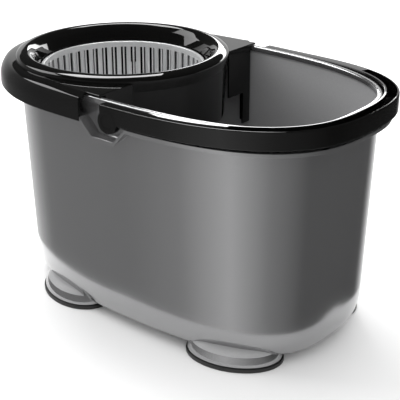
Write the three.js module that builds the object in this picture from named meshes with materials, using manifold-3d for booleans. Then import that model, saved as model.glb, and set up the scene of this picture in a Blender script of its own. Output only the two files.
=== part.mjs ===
// Mop bucket with a lift-out spin wringer.
// Millimetres, +Z up. The bucket's long side runs along X: the open basin is at +X, the wringer at -X.
// Plan positions are measured from the line where the wringer's cover ends over the basin (x = 0),
// and the whole assembly is shifted at the end so that its origin is the middle of its footprint.
import * as THREE from "three";
import { ParametricGeometry } from "three/addons/geometries/ParametricGeometry.js";
import { mergeVertices } from "three/addons/utils/BufferGeometryUtils.js";
import Module from "manifold-3d";

// ---- driving dimensions ----------------------------------------------------------------------
const GAP = 0.3; // between pieces that rest on or press into each other
const RUN = 1.0; // round anything that is lifted out or swings
const OVER = 1.0; // how far a cutter runs past the face that it opens

// Bucket: a superellipse in plan, longer and squarer towards the basin
const RIM_Z = 266;
const RIM_HALF_WIDTH = 130;
const BASIN_REACH = 222;
const WRINGER_REACH = 211.5;
const BASIN_SQUARENESS = 2.77;
const WRINGER_SQUARENESS = 2.3;
const WALL = 2.4;
const BEAD_WIDTH = 6.5;
const BEAD_HEIGHT = 6;
const BEAD_ROUND = 1.9;
const WALL_INSET_TOP = 2.5; // outer wall inside the rim's outline, just under the ledge
const WALL_INSET_FOOT = 10.8; // and at the bottom
const UNDERSIDE_Z = 12;
const FLOOR_THICK = 2.8;
const TOE_HEIGHT = 34; // the wall curves in over this height
const TOE_DEPTH = 6.5;
const TOE_EDGE = 4.5;
const TOE_STEPS = 3;

// Handle pivot, and the ledge that dips round each of the handle's hubs
const PIVOT_X = 21;
const PIVOT_ABOVE_LEDGE = 3;
const LEDGE_DROP = 20.5; // below the rim
const LEDGE_THICK = 2;
const LEDGE_OUTSET = 11.2;
const LEDGE_OUTSET_COVERED = 8.8;
const LIP_THICK = 1.8;
const LIP_HEIGHT = 4;
const POCKET_DEPTH = 16.5;
const POCKET_FLAT_BEFORE = 23; // the pocket's flat floor runs this far before the pivot
const POCKET_FLAT_AFTER = 7; // and this far past it
const POCKET_SLOPE_BEFORE = 16;
const POCKET_SLOPE_AFTER = 15;
const PIVOT_BOSS_RADIUS = 9;
const PIVOT_BOSS_PROUD = 3.5; // its face outside the rim's outline

// Feet: hollow oval shells, each closed by a rubber sole
const FOOT_LONG = 53;
const FOOT_SHORT = 38;
const FOOT_TURN = 20; // degrees
const FOOT_WALL = 2.4;
const FOOT_FROM_BASIN_END = 86;
const FOOT_FROM_BASIN_SIDE = 51;
const FOOT_FROM_WRINGER_END = 119.5;
const FOOT_FROM_WRINGER_SIDE = 46;
const SOLE_THICK = 4.5;
const SOLE_PROUD = 1.5;
const SOLE_ROUND = 0.8;
const SOLE_PLUG = 5;
// The foot shell's side: [inset from the sole, height above the shell's bottom edge]
const FOOT_SIDE = [[0.6, 5], [3.2, 10], [8, 14.5], [15, 16.4]];
const FOOT_HOLLOW_TAPER = 9;

// Handle
const HUB_RADIUS = 12.5;
const HUB_THICK = 8.3;
const HANDLE_HEIGHT = 19;
const HANDLE_OUTSET_SIDE = 12;
const HANDLE_OUTSET_GRIP = 16.6;
const HANDLE_GRIP_RISE = 3.5;
const HANDLE_WALL = 2.3;
const HANDLE_BEVEL = 1.5;
const HANDLE_HEEL = 9; // the bow starts this far before the pivot
const RISE_START = 21; // and rises from this far past it
const TROUGH_LENGTH = 70; // finger trough round the grip, back from the basin's end
const UNDERCUT_START = 15; // hollow underneath along each arm, from past the pivot
const UNDERCUT_END = 82; // to before the basin's end
const PIN_RADIUS = 4;
const PIN_HEAD_RADIUS = 7;
const PIN_HEAD_THICK = 2;
const PIN_LENGTH = 12.5;

// Basket
const BASKET_RADIUS = 91;
const BASKET_TAPER = 2;
const BASKET_WALL = 1.8;
const BASKET_DROP = 8.4; // its top below the rim
const BASKET_CORNER = 7;
const BASKET_FLANGE_OUTSET = 1.6;
const BASKET_FLANGE_THICK = 2.2;
const BASKET_FLANGE_ROUND = 0.6;
const BASKET_SLOTS = 24;
const BASKET_SLOT_WIDTH = 5;
const BASKET_BAND = 6.6; // solid band left above the slots
const BASKET_SLOT_FOOT = 8; // and under them
const BASKET_DRAINS = 12;
const BASKET_DRAIN_WIDTH = 5;
const BASKET_DRAIN_FROM_HUB = 12;
const BASKET_DRAIN_FROM_WALL = 13;
const HUB_WALL = 5.5; // at the top, round the spindle's nut
const HUB_FLARE = 11; // wider at the floor
const HUB_HEIGHT = 34;
const BUSH_WALL = 4;
const BUSH_LENGTH = 10;
const BUSH_RUN = 0.1;
const CAP_HEIGHT = 16;
const CAP_WALL = 3.5;
const CAP_LIP = 2;

// Drum: a bowl round the basket, and a wider wall above a step
const BOWL_ROOM = 8; // bowl outside the basket's wall
const BOWL_TAPER = 2;
const BOWL_CORNER = 9;
const BOWL_DEPTH = 46; // below the step
const STEP_DROP = 70; // below the rim
const STEP_WIDTH = 18.5;
const STEP_ROUND = 5.5;
const DRUM_WALL = 2.4;
const DRUM_TAPER = 1.5;
const DRAIN_SLOTS = 8;
const DRAIN_WIDTH = 6;
const DRAIN_FROM_PEDESTAL = 21;
const DRAIN_FROM_WALL = 23;
const PEDESTAL_WALL = 8; // round the spindle
const PEDESTAL_HEIGHT = 12;

// Wringer cover, over the drum
const THROAT_ROOM = 3; // throat outside the basket's wall
const RING_WIDTH = 15; // from the throat to the crest
const RING_OVERHANG = 2.5; // ring outside the drum
const RING_RISE = 10; // crest above the rim
const RING_END_GAP = 1.7; // ring inside the rim's outline at the wringer's end
// The ring's skin as [radius, height] from the throat, the crest or the outer edge
const THROAT_SIDE = [[1.2, 3], [4.2, 9.9]];
const CREST_ROUND = [[-6, -2.6], [0, 0], [4.5, -1.2]];
const SHOULDER = [[-2, -4.5], [0, -8.5]];
const THROAT_INSIDE = [[7.5, 9.6], [3.6, 3], [2.4, 0]];
const CREST_INSIDE = [[4, -3.9], [-3, -3.7]];
const SHOULDER_INSIDE = [-1.5, -7];
const COVER_WALL = 2.4;
const COVER_LIFT = 0.4; // the cover's underside above the rim
const PLATE_INSET = 0.6;
const SKIRT_DROP = 25; // below the rim
const SKIRT_OUTSET_SIDE = 12; // where the skirt starts, beside the handle's hubs
const SKIRT_OUTSET_END = 20; // round the wringer's end
const SKIRT_FLARE = 110; // it stands fully out this far past its start
// The skirt's outside and inside above its bottom edge: [share of its outset, height from the rim]
const SKIRT_OUTSIDE = [[1, -16], [0.82, -8], [0.42, -0.5]];
const SKIRT_INSIDE = [[0.47, -2], [0.8, -9], [1, -17]];
const INSERT_ROOM = 1.5; // everything that hangs in the bucket stays this far inside the bead
const CHEEK_DROP = 53; // upright cheeks under the cover's front edge, each with a leg
const CHEEK_LEG_DROP = 91;
const CHEEK_LEG_WIDTH = 13;
const SCREW_FROM_BOWL = 7.5;
const SCREW_ANGLES = [0, 75, 180, 285];
const SCREW_RADIUS = 1.5;
const SCREW_LENGTH = 14;
const SCREW_HEAD_RADIUS = 3.5;
const SCREW_HEAD_THICK = 2.2;
const SCREW_HEAD_ROUND = 1;
const PILLAR_RADIUS = 3.4;

// Spindle
const SPINDLE_RADIUS = 5;
const SPINDLE_CHAMFER = 1;
const SPINDLE_FLANGE_WIDTH = 5;
const SPINDLE_FLANGE_THICK = 2.5;
const NUT_WALL = 3.5; // from the spindle to the nut's corners
const NUT_THICK = 5;
const WASHER_THICK = 1.5;

// Fineness of the faceted surfaces
const PLAN_STATIONS = 56;
const RING_SEGMENTS = 48;
const DRUM_SEGMENTS = 44;
const SMALL_SEGMENTS = 20;
const FOOT_SEGMENTS = 20;
const HUB_SEGMENTS = 32;
const BOW_STEPS = 44;
const TROUGH_STEPS = 22;
const ARM_STEPS = 9;
const SCREW_SEGMENTS = 12;
const HEXAGON = 6;
const OUTLINE_STEPS = 1500;
const MERGE = 1e-4;
const ARC = 0.3; // how far a one-facet rounding stays from its corner

// ---- heights, radii and places that follow -----------------------------------------------------
const FLOOR_Z = UNDERSIDE_Z + FLOOR_THICK;
const LEDGE_TOP_Z = RIM_Z - LEDGE_DROP;
const POCKET_FLAT = [PIVOT_X - POCKET_FLAT_BEFORE, PIVOT_X + POCKET_FLAT_AFTER];
const POCKET_START = POCKET_FLAT[0] - POCKET_SLOPE_BEFORE;
const POCKET_END = POCKET_FLAT[1] + POCKET_SLOPE_AFTER;
const PIVOT_Z = LEDGE_TOP_Z + PIVOT_ABOVE_LEDGE;
const BOSS_FACE = RIM_HALF_WIDTH + PIVOT_BOSS_PROUD;
const HUB_FACE = BOSS_FACE + GAP;
const HUB_OUTSIDE = HUB_FACE + HUB_THICK;
const PIN_TIP = HUB_OUTSIDE - PIN_HEAD_THICK - PIN_LENGTH - GAP;
const SHELL_BOTTOM_Z = SOLE_THICK + GAP;

const BOWL_RADIUS = BASKET_RADIUS + BOWL_ROOM;
const DRUM_RADIUS = BOWL_RADIUS + STEP_WIDTH;
const SCREW_CIRCLE = BOWL_RADIUS + SCREW_FROM_BOWL;
const THROAT_RADIUS = BASKET_RADIUS + THROAT_ROOM;
const RING_CREST_RADIUS = THROAT_RADIUS + RING_WIDTH;
const RING_OUTER_RADIUS = DRUM_RADIUS + RING_OVERHANG;
const WRINGER_X = RING_OUTER_RADIUS + RING_END_GAP - WRINGER_REACH;
const INSERT_INSET = BEAD_WIDTH + INSERT_ROOM;

const RING_CREST_Z = RIM_Z + RING_RISE;
const COVER_UNDER_Z = RIM_Z + COVER_LIFT;
const COVER_TOP_Z = COVER_UNDER_Z + COVER_WALL;
const SKIRT_BOTTOM_Z = RIM_Z - SKIRT_DROP;
const DRUM_TOP_Z = COVER_UNDER_Z - GAP;
const DRUM_STEP_Z = RIM_Z - STEP_DROP;
const STEP_TOP_Z = DRUM_STEP_Z + DRUM_WALL;
const BOWL_BOTTOM_Z = DRUM_STEP_Z - BOWL_DEPTH;
const PEDESTAL_TOP_Z = BOWL_BOTTOM_Z + PEDESTAL_HEIGHT;
const SCREW_SEAT_Z = DRUM_STEP_Z - GAP;
const SCREW_TIP_Z = SCREW_SEAT_Z + SCREW_LENGTH;

const FLANGE_BOTTOM_Z = PEDESTAL_TOP_Z + GAP;
const FLANGE_TOP_Z = FLANGE_BOTTOM_Z + SPINDLE_FLANGE_THICK;
const THRUST_TOP_Z = FLANGE_TOP_Z + GAP + WASHER_THICK;
const BASKET_BOTTOM_Z = THRUST_TOP_Z + RUN;
const BASKET_FLOOR_Z = BASKET_BOTTOM_Z + BASKET_WALL;
const BASKET_TOP_Z = RIM_Z - BASKET_DROP;
const LOWER_BUSH_Z = THRUST_TOP_Z + GAP;
const HUB_TOP_Z = BASKET_BOTTOM_Z + HUB_HEIGHT;
const RETAINER_Z = HUB_TOP_Z - NUT_THICK - WASHER_THICK - 2 * GAP;
const UPPER_BUSH_Z = RETAINER_Z - GAP - BUSH_LENGTH;
const TOP_NUT_Z = RETAINER_Z + WASHER_THICK + GAP;
const SPINDLE_TOP_Z = TOP_NUT_Z + NUT_THICK + GAP;
const LOWER_NUT_Z = BOWL_BOTTOM_Z - GAP - NUT_THICK;

const SPINDLE_FLANGE_RADIUS = SPINDLE_RADIUS + SPINDLE_FLANGE_WIDTH;
const PEDESTAL_RADIUS = SPINDLE_RADIUS + PEDESTAL_WALL;
const BUSH_BORE = SPINDLE_RADIUS + BUSH_RUN;
const BUSH_OUTER = BUSH_BORE + BUSH_WALL;
const NUT_RADIUS = SPINDLE_RADIUS + NUT_WALL;
const NUT_WELL_RADIUS = Math.max(NUT_RADIUS + RUN, BUSH_OUTER + GAP);
const HUB_TOP_RADIUS = NUT_WELL_RADIUS + HUB_WALL;
const HUB_BASE_RADIUS = HUB_TOP_RADIUS + HUB_FLARE;

// ---- solids ----------------------------------------------------------------------------------
const wasm = await Module();
wasm.setup();

/** The triangle indices without the ones that collapsed at a pole, turned round if asked. */
function cleanTriangles(index, flip) {
  const kept = [];
  for (let i = 0; i < index.length; i += 3) {
    const [a, b, c] = index.slice(i, i + 3);
    if (a === b || b === c || c === a) continue;
    kept.push(a, flip ? c : b, flip ? b : c);
  }
  return new Uint32Array(kept);
}

/** A closed geometry as a solid with its faces pointing out. */
function solidOf(geometry) {
  geometry.deleteAttribute("normal");
  geometry.deleteAttribute("uv");
  const merged = mergeVertices(geometry, MERGE);
  const build = (flip) =>
    new wasm.Manifold(
      new wasm.Mesh({
        numProp: 3,
        vertProperties: merged.attributes.position.array,
        triVerts: cleanTriangles(Array.from(merged.index.array), flip),
      }),
    );
  const solid = build(false);
  return solid.volume() < 0 ? build(true) : solid;
}

/** Joins several solids. */
const joined = (...solids) => solids.reduce((whole, next) => whole.add(next));

/** Cuts several solids out of the first. */
const cut = (whole, ...cutters) => cutters.reduce((left, tool) => left.subtract(tool), whole);

/** A named mesh with its own material. */
function part(name, solid, { color, roughness, metalness }) {
  const mesh = solid.getMesh();
  const geometry = new THREE.BufferGeometry();
  geometry.setAttribute("position", new THREE.BufferAttribute(mesh.vertProperties, 3));
  geometry.setIndex(new THREE.BufferAttribute(mesh.triVerts, 1));
  const shown = geometry.toNonIndexed();
  shown.computeVertexNormals();
  const material = new THREE.MeshStandardMaterial({ color, roughness, metalness });
  const node = new THREE.Mesh(shown, material);
  node.name = name;
  return node;
}

/** A box between two corners. */
function block([x0, y0, z0], [x1, y1, z1]) {
  const box = new THREE.BoxGeometry(x1 - x0, y1 - y0, z1 - z0);
  return solidOf(box.translate((x0 + x1) / 2, (y0 + y1) / 2, (z0 + z1) / 2));
}

/** An upright round bar. */
function upright(radius, x, y, z0, z1, segments = SMALL_SEGMENTS) {
  const bar = new THREE.CylinderGeometry(radius, radius, z1 - z0, segments);
  return solidOf(bar.rotateX(Math.PI / 2).translate(x, y, (z0 + z1) / 2));
}

/** An upright round bar on the wringer's axis. */
const axisBar = (radius, z0, z1, segments) => upright(radius, WRINGER_X, 0, z0, z1, segments);

/** The front and the rear side. */
const SIDES = [-1, 1];

/** A round bar on the handle's pivot, from near to far from the centre plane on one side. */
function pivotBar(radius, side, near, far, segments = SMALL_SEGMENTS) {
  const bar = new THREE.CylinderGeometry(radius, radius, far - near, segments);
  return solidOf(bar.translate(PIVOT_X, (side * (near + far)) / 2, PIVOT_Z));
}

/** A turned body from [radius, z] points, standing at (x, y). */
function turned(points, segments, x = 0, y = 0) {
  const profile = points.map(([radius, z]) => new THREE.Vector2(radius, z));
  const lathe = new THREE.LatheGeometry(profile, segments);
  return solidOf(lathe.rotateX(Math.PI / 2).translate(x, y, 0));
}

/** A turned body round the wringer's axis whose profile closes on itself. */
const turnedShell = (points, segments) => turned([...points, points[0]], segments, WRINGER_X);

/** A grid of points closed into a solid: rows run from one pole to the other. */
function skin(rows, columns, pointAt) {
  const place = (u, v, target) => {
    const row = Math.min(rows - 1, Math.max(0, Math.round(v * (rows - 1))));
    const column = Math.round(u * columns) % columns;
    const [x, y, z] = pointAt(row, column);
    target.set(x, y, z);
  };
  return solidOf(new ParametricGeometry(place, columns, rows - 1));
}

// ---- the bucket's plan -----------------------------------------------------------------------
/** A point of the rim's outline moved outwards by outset, and the outline's own x there. */
function planPoint(angle, outset) {
  const [c, s] = [Math.cos(angle), Math.sin(angle)];
  const reach = c >= 0 ? BASIN_REACH : WRINGER_REACH;
  const n = c >= 0 ? BASIN_SQUARENESS : WRINGER_SQUARENESS;
  const [u, v] = [Math.abs(c) ** (2 / n), Math.abs(s) ** (2 / n)];
  const normal = new THREE.Vector2(
    (Math.sign(c) * u ** (n - 1)) / reach,
    (Math.sign(s) * v ** (n - 1)) / RIM_HALF_WIDTH,
  ).normalize();
  const onRim = [Math.sign(c) * reach * u, Math.sign(s) * RIM_HALF_WIDTH * v];
  return [onRim[0] + outset * normal.x, onRim[1] + outset * normal.y, onRim[0]];
}

/** The angle of the outline's point at x, on the +Y side. */
function angleAtX(x) {
  const reach = x >= 0 ? BASIN_REACH : WRINGER_REACH;
  const n = x >= 0 ? BASIN_SQUARENESS : WRINGER_SQUARENESS;
  return Math.acos(Math.sign(x) * Math.min(1, Math.abs(x) / reach) ** (n / 2));
}

/** Angles a nearly equal way apart along the outline between two angles. */
function evenAngles(from, to, count) {
  const step = (to - from) / OUTLINE_STEPS;
  const angles = Array.from({ length: OUTLINE_STEPS + 1 }, (_, i) => from + step * i);
  const run = [0];
  for (let i = 1; i <= OUTLINE_STEPS; i += 1) {
    const [x0, y0] = planPoint(angles[i - 1], 0);
    const [x1, y1] = planPoint(angles[i], 0);
    run.push(run[i - 1] + Math.hypot(x1 - x0, y1 - y0));
  }
  return Array.from({ length: count + 1 }, (_, k) => {
    const target = (run[OUTLINE_STEPS] * k) / count;
    return angles[run.findIndex((length) => length >= target - MERGE)];
  });
}

/** Stations all round the outline, with one at each corner of the pockets. */
function roundStations() {
  const corners = [POCKET_START, ...POCKET_FLAT, POCKET_END].map(angleAtX);
  const keys = [...corners, ...corners.map((angle) => 2 * Math.PI - angle)];
  const nearest = (2 * Math.PI) / PLAN_STATIONS / 4;
  const spread = evenAngles(0, 2 * Math.PI, PLAN_STATIONS).slice(0, -1);
  const free = spread.filter((angle) => keys.every((key) => Math.abs(key - angle) > nearest));
  return [...free, ...keys].sort((a, b) => a - b);
}
const STATIONS = roundStations();

/** A body through [outset, z] levels of the outline, closed flat at both ends. */
function planBody(levels) {
  const rows = [levels[0], ...levels, levels[levels.length - 1]];
  return skin(rows.length, STATIONS.length, (row, column) => {
    const [outset, z] = rows[row];
    if (row === 0 || row === rows.length - 1) return [0, 0, z];
    const [x, y] = planPoint(STATIONS[column], outset);
    return [x, y, z];
  });
}

/** A band right round the outline: section(x) gives its [outset, z] points at the outline's x. */
function planRing(section) {
  const sides = section(0).length;
  return skin(sides + 1, STATIONS.length, (row, column) => {
    const onRim = planPoint(STATIONS[column], 0);
    const [outset, z] = section(onRim[2])[row % sides];
    const [x, y] = planPoint(STATIONS[column], outset);
    return [x, y, z];
  });
}

/** A band along part of the outline, closed at both ends. */
function planArc(from, to, steps, section) {
  const angles = evenAngles(from, to, steps);
  const sides = section(0).length;
  return skin(angles.length + 2, sides, (row, column) => {
    const angle = angles[Math.min(steps, Math.max(0, row - 1))];
    const points = section(planPoint(angle, 0)[2]);
    const [outset, z] =
      row === 0 || row === angles.length + 1
        ? [mean(points.map((p) => p[0])), mean(points.map((p) => p[1]))]
        : points[column];
    const [x, y] = planPoint(angle, outset);
    return [x, y, z];
  });
}
const mean = (values) => values.reduce((sum, value) => sum + value, 0) / values.length;

/** 0 up to the first value, 1 past the second, and smooth between. */
const ease = (value, from, to) => THREE.MathUtils.smoothstep(value, from, to);

// ---- bucket ----------------------------------------------------------------------------------
/** The outer wall's inset from the rim's outline at a height, above the toe's curve. */
function wallInset(z) {
  const share = (LEDGE_TOP_Z - z) / (LEDGE_TOP_Z - UNDERSIDE_Z);
  return WALL_INSET_TOP + (WALL_INSET_FOOT - WALL_INSET_TOP) * Math.max(0, share);
}

/** The toe's quarter ellipse as [outset, z] levels, for a wall set in by extra. */
function toeLevels(extra, lowest, edge) {
  const foot = wallInset(lowest) + TOE_DEPTH + extra;
  const corner = [
    [-(foot + edge), lowest],
    [-(foot + edge * ARC), lowest + edge * ARC],
  ];
  const curve = Array.from({ length: TOE_STEPS + 1 }, (_, i) => {
    const share = i / TOE_STEPS;
    const z = lowest + edge + (TOE_HEIGHT - edge) * share;
    const depth = TOE_DEPTH * (1 - Math.sqrt(1 - (1 - share) ** 2));
    return [-(wallInset(z) + depth + extra), z];
  });
  return [...corner, ...curve];
}

/** Everything inside the bucket's outer skin, with its rounded bead at the top. */
function bucketOuter() {
  return planBody([
    ...toeLevels(0, UNDERSIDE_Z, TOE_EDGE),
    [-WALL_INSET_TOP, LEDGE_TOP_Z - LEDGE_THICK],
    [-WALL_INSET_TOP, RIM_Z - BEAD_HEIGHT - BEAD_ROUND],
    [0, RIM_Z - BEAD_HEIGHT],
    [0, RIM_Z - BEAD_ROUND],
    [-BEAD_ROUND * ARC, RIM_Z - BEAD_ROUND * ARC],
    [-BEAD_ROUND, RIM_Z],
  ]);
}

/** The space inside the bucket. */
function bucketCavity() {
  return planBody([
    ...toeLevels(WALL, FLOOR_Z, TOE_EDGE),
    [-(WALL_INSET_TOP + WALL), LEDGE_TOP_Z],
    [-(WALL_INSET_TOP + WALL), RIM_Z - BEAD_HEIGHT - BEAD_ROUND],
    [-BEAD_WIDTH, RIM_Z - BEAD_HEIGHT],
    [-BEAD_WIDTH, RIM_Z - BEAD_ROUND],
    [-(BEAD_WIDTH - BEAD_ROUND * ARC), RIM_Z - BEAD_ROUND * ARC],
    [-(BEAD_WIDTH - BEAD_ROUND), RIM_Z],
    [-(BEAD_WIDTH - BEAD_ROUND), RIM_Z + OVER],
  ]);
}

/** The ledge's height along the bucket, dipping through the pocket. */
function ledgeTop(x) {
  if (x <= POCKET_START || x >= POCKET_END) return LEDGE_TOP_Z;
  const [from, to] = POCKET_FLAT;
  const down = x < from ? (x - POCKET_START) / (from - POCKET_START) : 1;
  const up = x > to ? (POCKET_END - x) / (POCKET_END - to) : 1;
  return LEDGE_TOP_Z - POCKET_DEPTH * Math.min(1, down, up);
}

/** The ledge with its turned-down lip. */
function ledge() {
  return planRing((x) => {
    const out = x < POCKET_START + MERGE ? LEDGE_OUTSET_COVERED : LEDGE_OUTSET;
    const top = ledgeTop(x);
    const root = -(WALL_INSET_TOP + WALL / 2);
    return [
      [root, top],
      [out, top],
      [out, top - LIP_HEIGHT],
      [out - LIP_THICK, top - LIP_HEIGHT],
      [out - LIP_THICK, top - LEDGE_THICK],
      [root, top - LEDGE_THICK],
    ];
  });
}

/** An oval body through [inset, z] levels, turned and placed as the foot at centre is. */
function oval([x, y], turn, levels) {
  const rows = [levels[0], ...levels, levels[levels.length - 1]];
  const [c, s] = [Math.cos(turn), Math.sin(turn)];
  return skin(rows.length, FOOT_SEGMENTS, (row, column) => {
    const [inset, z] = rows[row];
    const angle = (2 * Math.PI * column) / FOOT_SEGMENTS;
    const pole = row === 0 || row === rows.length - 1;
    const along = pole ? 0 : (FOOT_LONG - inset) * Math.cos(angle);
    const across = pole ? 0 : (FOOT_SHORT - inset) * Math.sin(angle);
    return [x + along * c - across * s, y + along * s + across * c, z];
  });
}

const BASIN_FOOT = [BASIN_REACH - FOOT_FROM_BASIN_END, RIM_HALF_WIDTH - FOOT_FROM_BASIN_SIDE];
const WRINGER_FOOT = [FOOT_FROM_WRINGER_END - WRINGER_REACH, RIM_HALF_WIDTH - FOOT_FROM_WRINGER_SIDE];

/** Where the four feet stand: name, centre and turn. */
const FEET = [
  ["front_right", BASIN_FOOT, -1],
  ["rear_right", BASIN_FOOT, 1],
  ["front_left", WRINGER_FOOT, -1],
  ["rear_left", WRINGER_FOOT, 1],
].map(([name, [x, y], side]) => ({
  name,
  centre: [x, y * side],
  turn: THREE.MathUtils.degToRad(-side * Math.sign(x) * FOOT_TURN),
}));

/** A foot's shell, hollow from below. */
function footShell({ centre, turn }) {
  const shell = oval(centre, turn, [
    [SOLE_PROUD, SHELL_BOTTOM_Z],
    ...FOOT_SIDE.map(([inset, height]) => [SOLE_PROUD + inset, SHELL_BOTTOM_Z + height]),
  ]);
  const hollow = oval(centre, turn, [
    [SOLE_PROUD + FOOT_WALL, SHELL_BOTTOM_Z - OVER],
    [SOLE_PROUD + FOOT_WALL, SHELL_BOTTOM_Z + SOLE_PLUG],
    [SOLE_PROUD + FOOT_WALL + FOOT_HOLLOW_TAPER, UNDERSIDE_Z - GAP],
  ]);
  return { shell, hollow };
}

/** The bucket's one moulding. */
function bucketBody() {
  const feet = FEET.map(footShell);
  const bossRoot = RIM_HALF_WIDTH - WALL_INSET_TOP - WALL / 2;
  const bosses = SIDES.map((side) => pivotBar(PIVOT_BOSS_RADIUS, side, bossRoot, BOSS_FACE));
  const bores = SIDES.map((side) => pivotBar(PIN_RADIUS + GAP, side, PIN_TIP, BOSS_FACE + OVER));
  const outer = joined(bucketOuter(), ledge(), ...feet.map((foot) => foot.shell), ...bosses);
  return cut(outer, bucketCavity(), ...feet.map((foot) => foot.hollow), ...bores);
}

/** A rubber sole: a flat oval with a plug that fits the foot's shell. */
function footSole({ centre, turn }) {
  const plug = SOLE_PROUD + FOOT_WALL + GAP;
  return oval(centre, turn, [
    [SOLE_ROUND, 0],
    [0, SOLE_ROUND],
    [0, SOLE_THICK - SOLE_ROUND],
    [SOLE_ROUND, SOLE_THICK],
    [plug, SOLE_THICK],
    [plug, SOLE_THICK + SOLE_PLUG],
  ]);
}

// ---- handle ----------------------------------------------------------------------------------
/** The handle's section at the outline's x: inner and outer outset, bottom and top. */
function handleAt(x) {
  const spread = ease(x, PIVOT_X, BASIN_REACH);
  const rise = HANDLE_GRIP_RISE * ease(x, PIVOT_X + RISE_START, BASIN_REACH);
  const bottom = LEDGE_TOP_Z + RUN + rise;
  return {
    inner: RUN,
    outer: HANDLE_OUTSET_SIDE + (HANDLE_OUTSET_GRIP - HANDLE_OUTSET_SIDE) * spread,
    bottom,
    top: bottom + HANDLE_HEIGHT,
  };
}

/** A cutter inside the handle's walls between two angles; heights(section) gives its bottom and top. */
function handleHollow(from, to, steps, heights) {
  return planArc(from, to, steps, (x) => {
    const section = handleAt(x);
    const [low, high] = heights(section);
    const [near, far] = [section.inner + HANDLE_WALL, section.outer - HANDLE_WALL];
    return [
      [near, low],
      [far, low],
      [far, high],
      [near, high],
    ];
  });
}

/** The solid bow of the handle, from heel to heel. */
function handleBow() {
  const heel = angleAtX(PIVOT_X - HANDLE_HEEL);
  return planArc(-heel, heel, BOW_STEPS, (x) => {
    const { inner, outer, bottom, top } = handleAt(x);
    return [
      [inner, bottom],
      [outer - HANDLE_BEVEL, bottom],
      [outer, bottom + HANDLE_BEVEL],
      [outer, top - HANDLE_BEVEL],
      [outer - HANDLE_BEVEL, top],
      [inner, top],
    ];
  });
}

/** The bail handle with its hubs, hollow arms and finger trough. */
function handle() {
  const troughEnd = angleAtX(BASIN_REACH - TROUGH_LENGTH);
  const trough = handleHollow(-troughEnd, troughEnd, TROUGH_STEPS, ({ bottom, top }) => [
    bottom + HANDLE_WALL,
    top + OVER,
  ]);
  const [armStart, armEnd] = [PIVOT_X + UNDERCUT_START, BASIN_REACH - UNDERCUT_END].map(angleAtX);
  const undercuts = SIDES.map((side) =>
    handleHollow(side * armStart, side * armEnd, ARM_STEPS, ({ bottom, top }) => [
      bottom - OVER,
      top - HANDLE_WALL,
    ]),
  );
  const hubs = SIDES.map((side) => pivotBar(HUB_RADIUS, side, HUB_FACE, HUB_OUTSIDE, HUB_SEGMENTS));
  const sink = HUB_OUTSIDE - PIN_HEAD_THICK - GAP;
  const reliefs = SIDES.flatMap((side) => [
    pivotBar(PIVOT_BOSS_RADIUS + RUN, side, RIM_HALF_WIDTH, HUB_FACE, HUB_SEGMENTS),
    pivotBar(PIN_RADIUS + GAP, side, RIM_HALF_WIDTH, HUB_OUTSIDE + OVER),
    pivotBar(PIN_HEAD_RADIUS + GAP, side, sink, HUB_OUTSIDE + OVER),
  ]);
  return cut(joined(handleBow(), ...hubs), trough, ...undercuts, ...reliefs);
}

/** A pivot pin: a flat head sunk into the hub, and a shank into the bucket's boss. */
function pivotPin(side) {
  const shoulder = HUB_OUTSIDE - PIN_HEAD_THICK;
  return joined(
    pivotBar(PIN_HEAD_RADIUS, side, shoulder, HUB_OUTSIDE - GAP),
    pivotBar(PIN_RADIUS, side, shoulder - PIN_LENGTH, shoulder + GAP),
  );
}

// ---- wringer cover ---------------------------------------------------------------------------
/** The rounded ring round the basket's mouth. */
function coverRing() {
  const [throat, outer] = [THROAT_RADIUS, RING_OUTER_RADIUS];
  const throatFoot = BASKET_TOP_Z + RUN;
  const from = (radius, z) => ([out, up]) => [radius + out, z + up];
  return turnedShell(
    [
      [throat, throatFoot],
      ...THROAT_SIDE.map(from(throat, throatFoot)),
      ...CREST_ROUND.map(from(RING_CREST_RADIUS, RING_CREST_Z)),
      ...SHOULDER.map(from(outer, RING_CREST_Z)),
      [outer, COVER_UNDER_Z],
      [outer - COVER_WALL, COVER_UNDER_Z],
      from(outer - COVER_WALL, RING_CREST_Z)(SHOULDER_INSIDE),
      ...CREST_INSIDE.map(from(RING_CREST_RADIUS, RING_CREST_Z)),
      ...THROAT_INSIDE.map(from(throat, throatFoot)),
    ],
    RING_SEGMENTS,
  );
}

/** Everything of the cover's height on the basin's side of x. */
function basinSide(x, bottom) {
  const past = SKIRT_OUTSET_END + OVER;
  const y = RIM_HALF_WIDTH + past;
  return block([x, -y, bottom], [BASIN_REACH + past, y, RING_CREST_Z]);
}

/** The flat plate between the ring and the rim, over the wringer's half of the bucket. */
function coverPlate() {
  const plate = planBody([
    [-PLATE_INSET, COVER_UNDER_Z + GAP],
    [-PLATE_INSET, COVER_TOP_Z - PLATE_INSET],
    [-2 * PLATE_INSET, COVER_TOP_Z],
  ]);
  const [below, above] = [COVER_UNDER_Z - OVER, COVER_TOP_Z + OVER];
  const mouth = axisBar(RING_OUTER_RADIUS - COVER_WALL / 2, below, above, RING_SEGMENTS);
  return cut(plate, basinSide(0, below), mouth);
}

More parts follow.
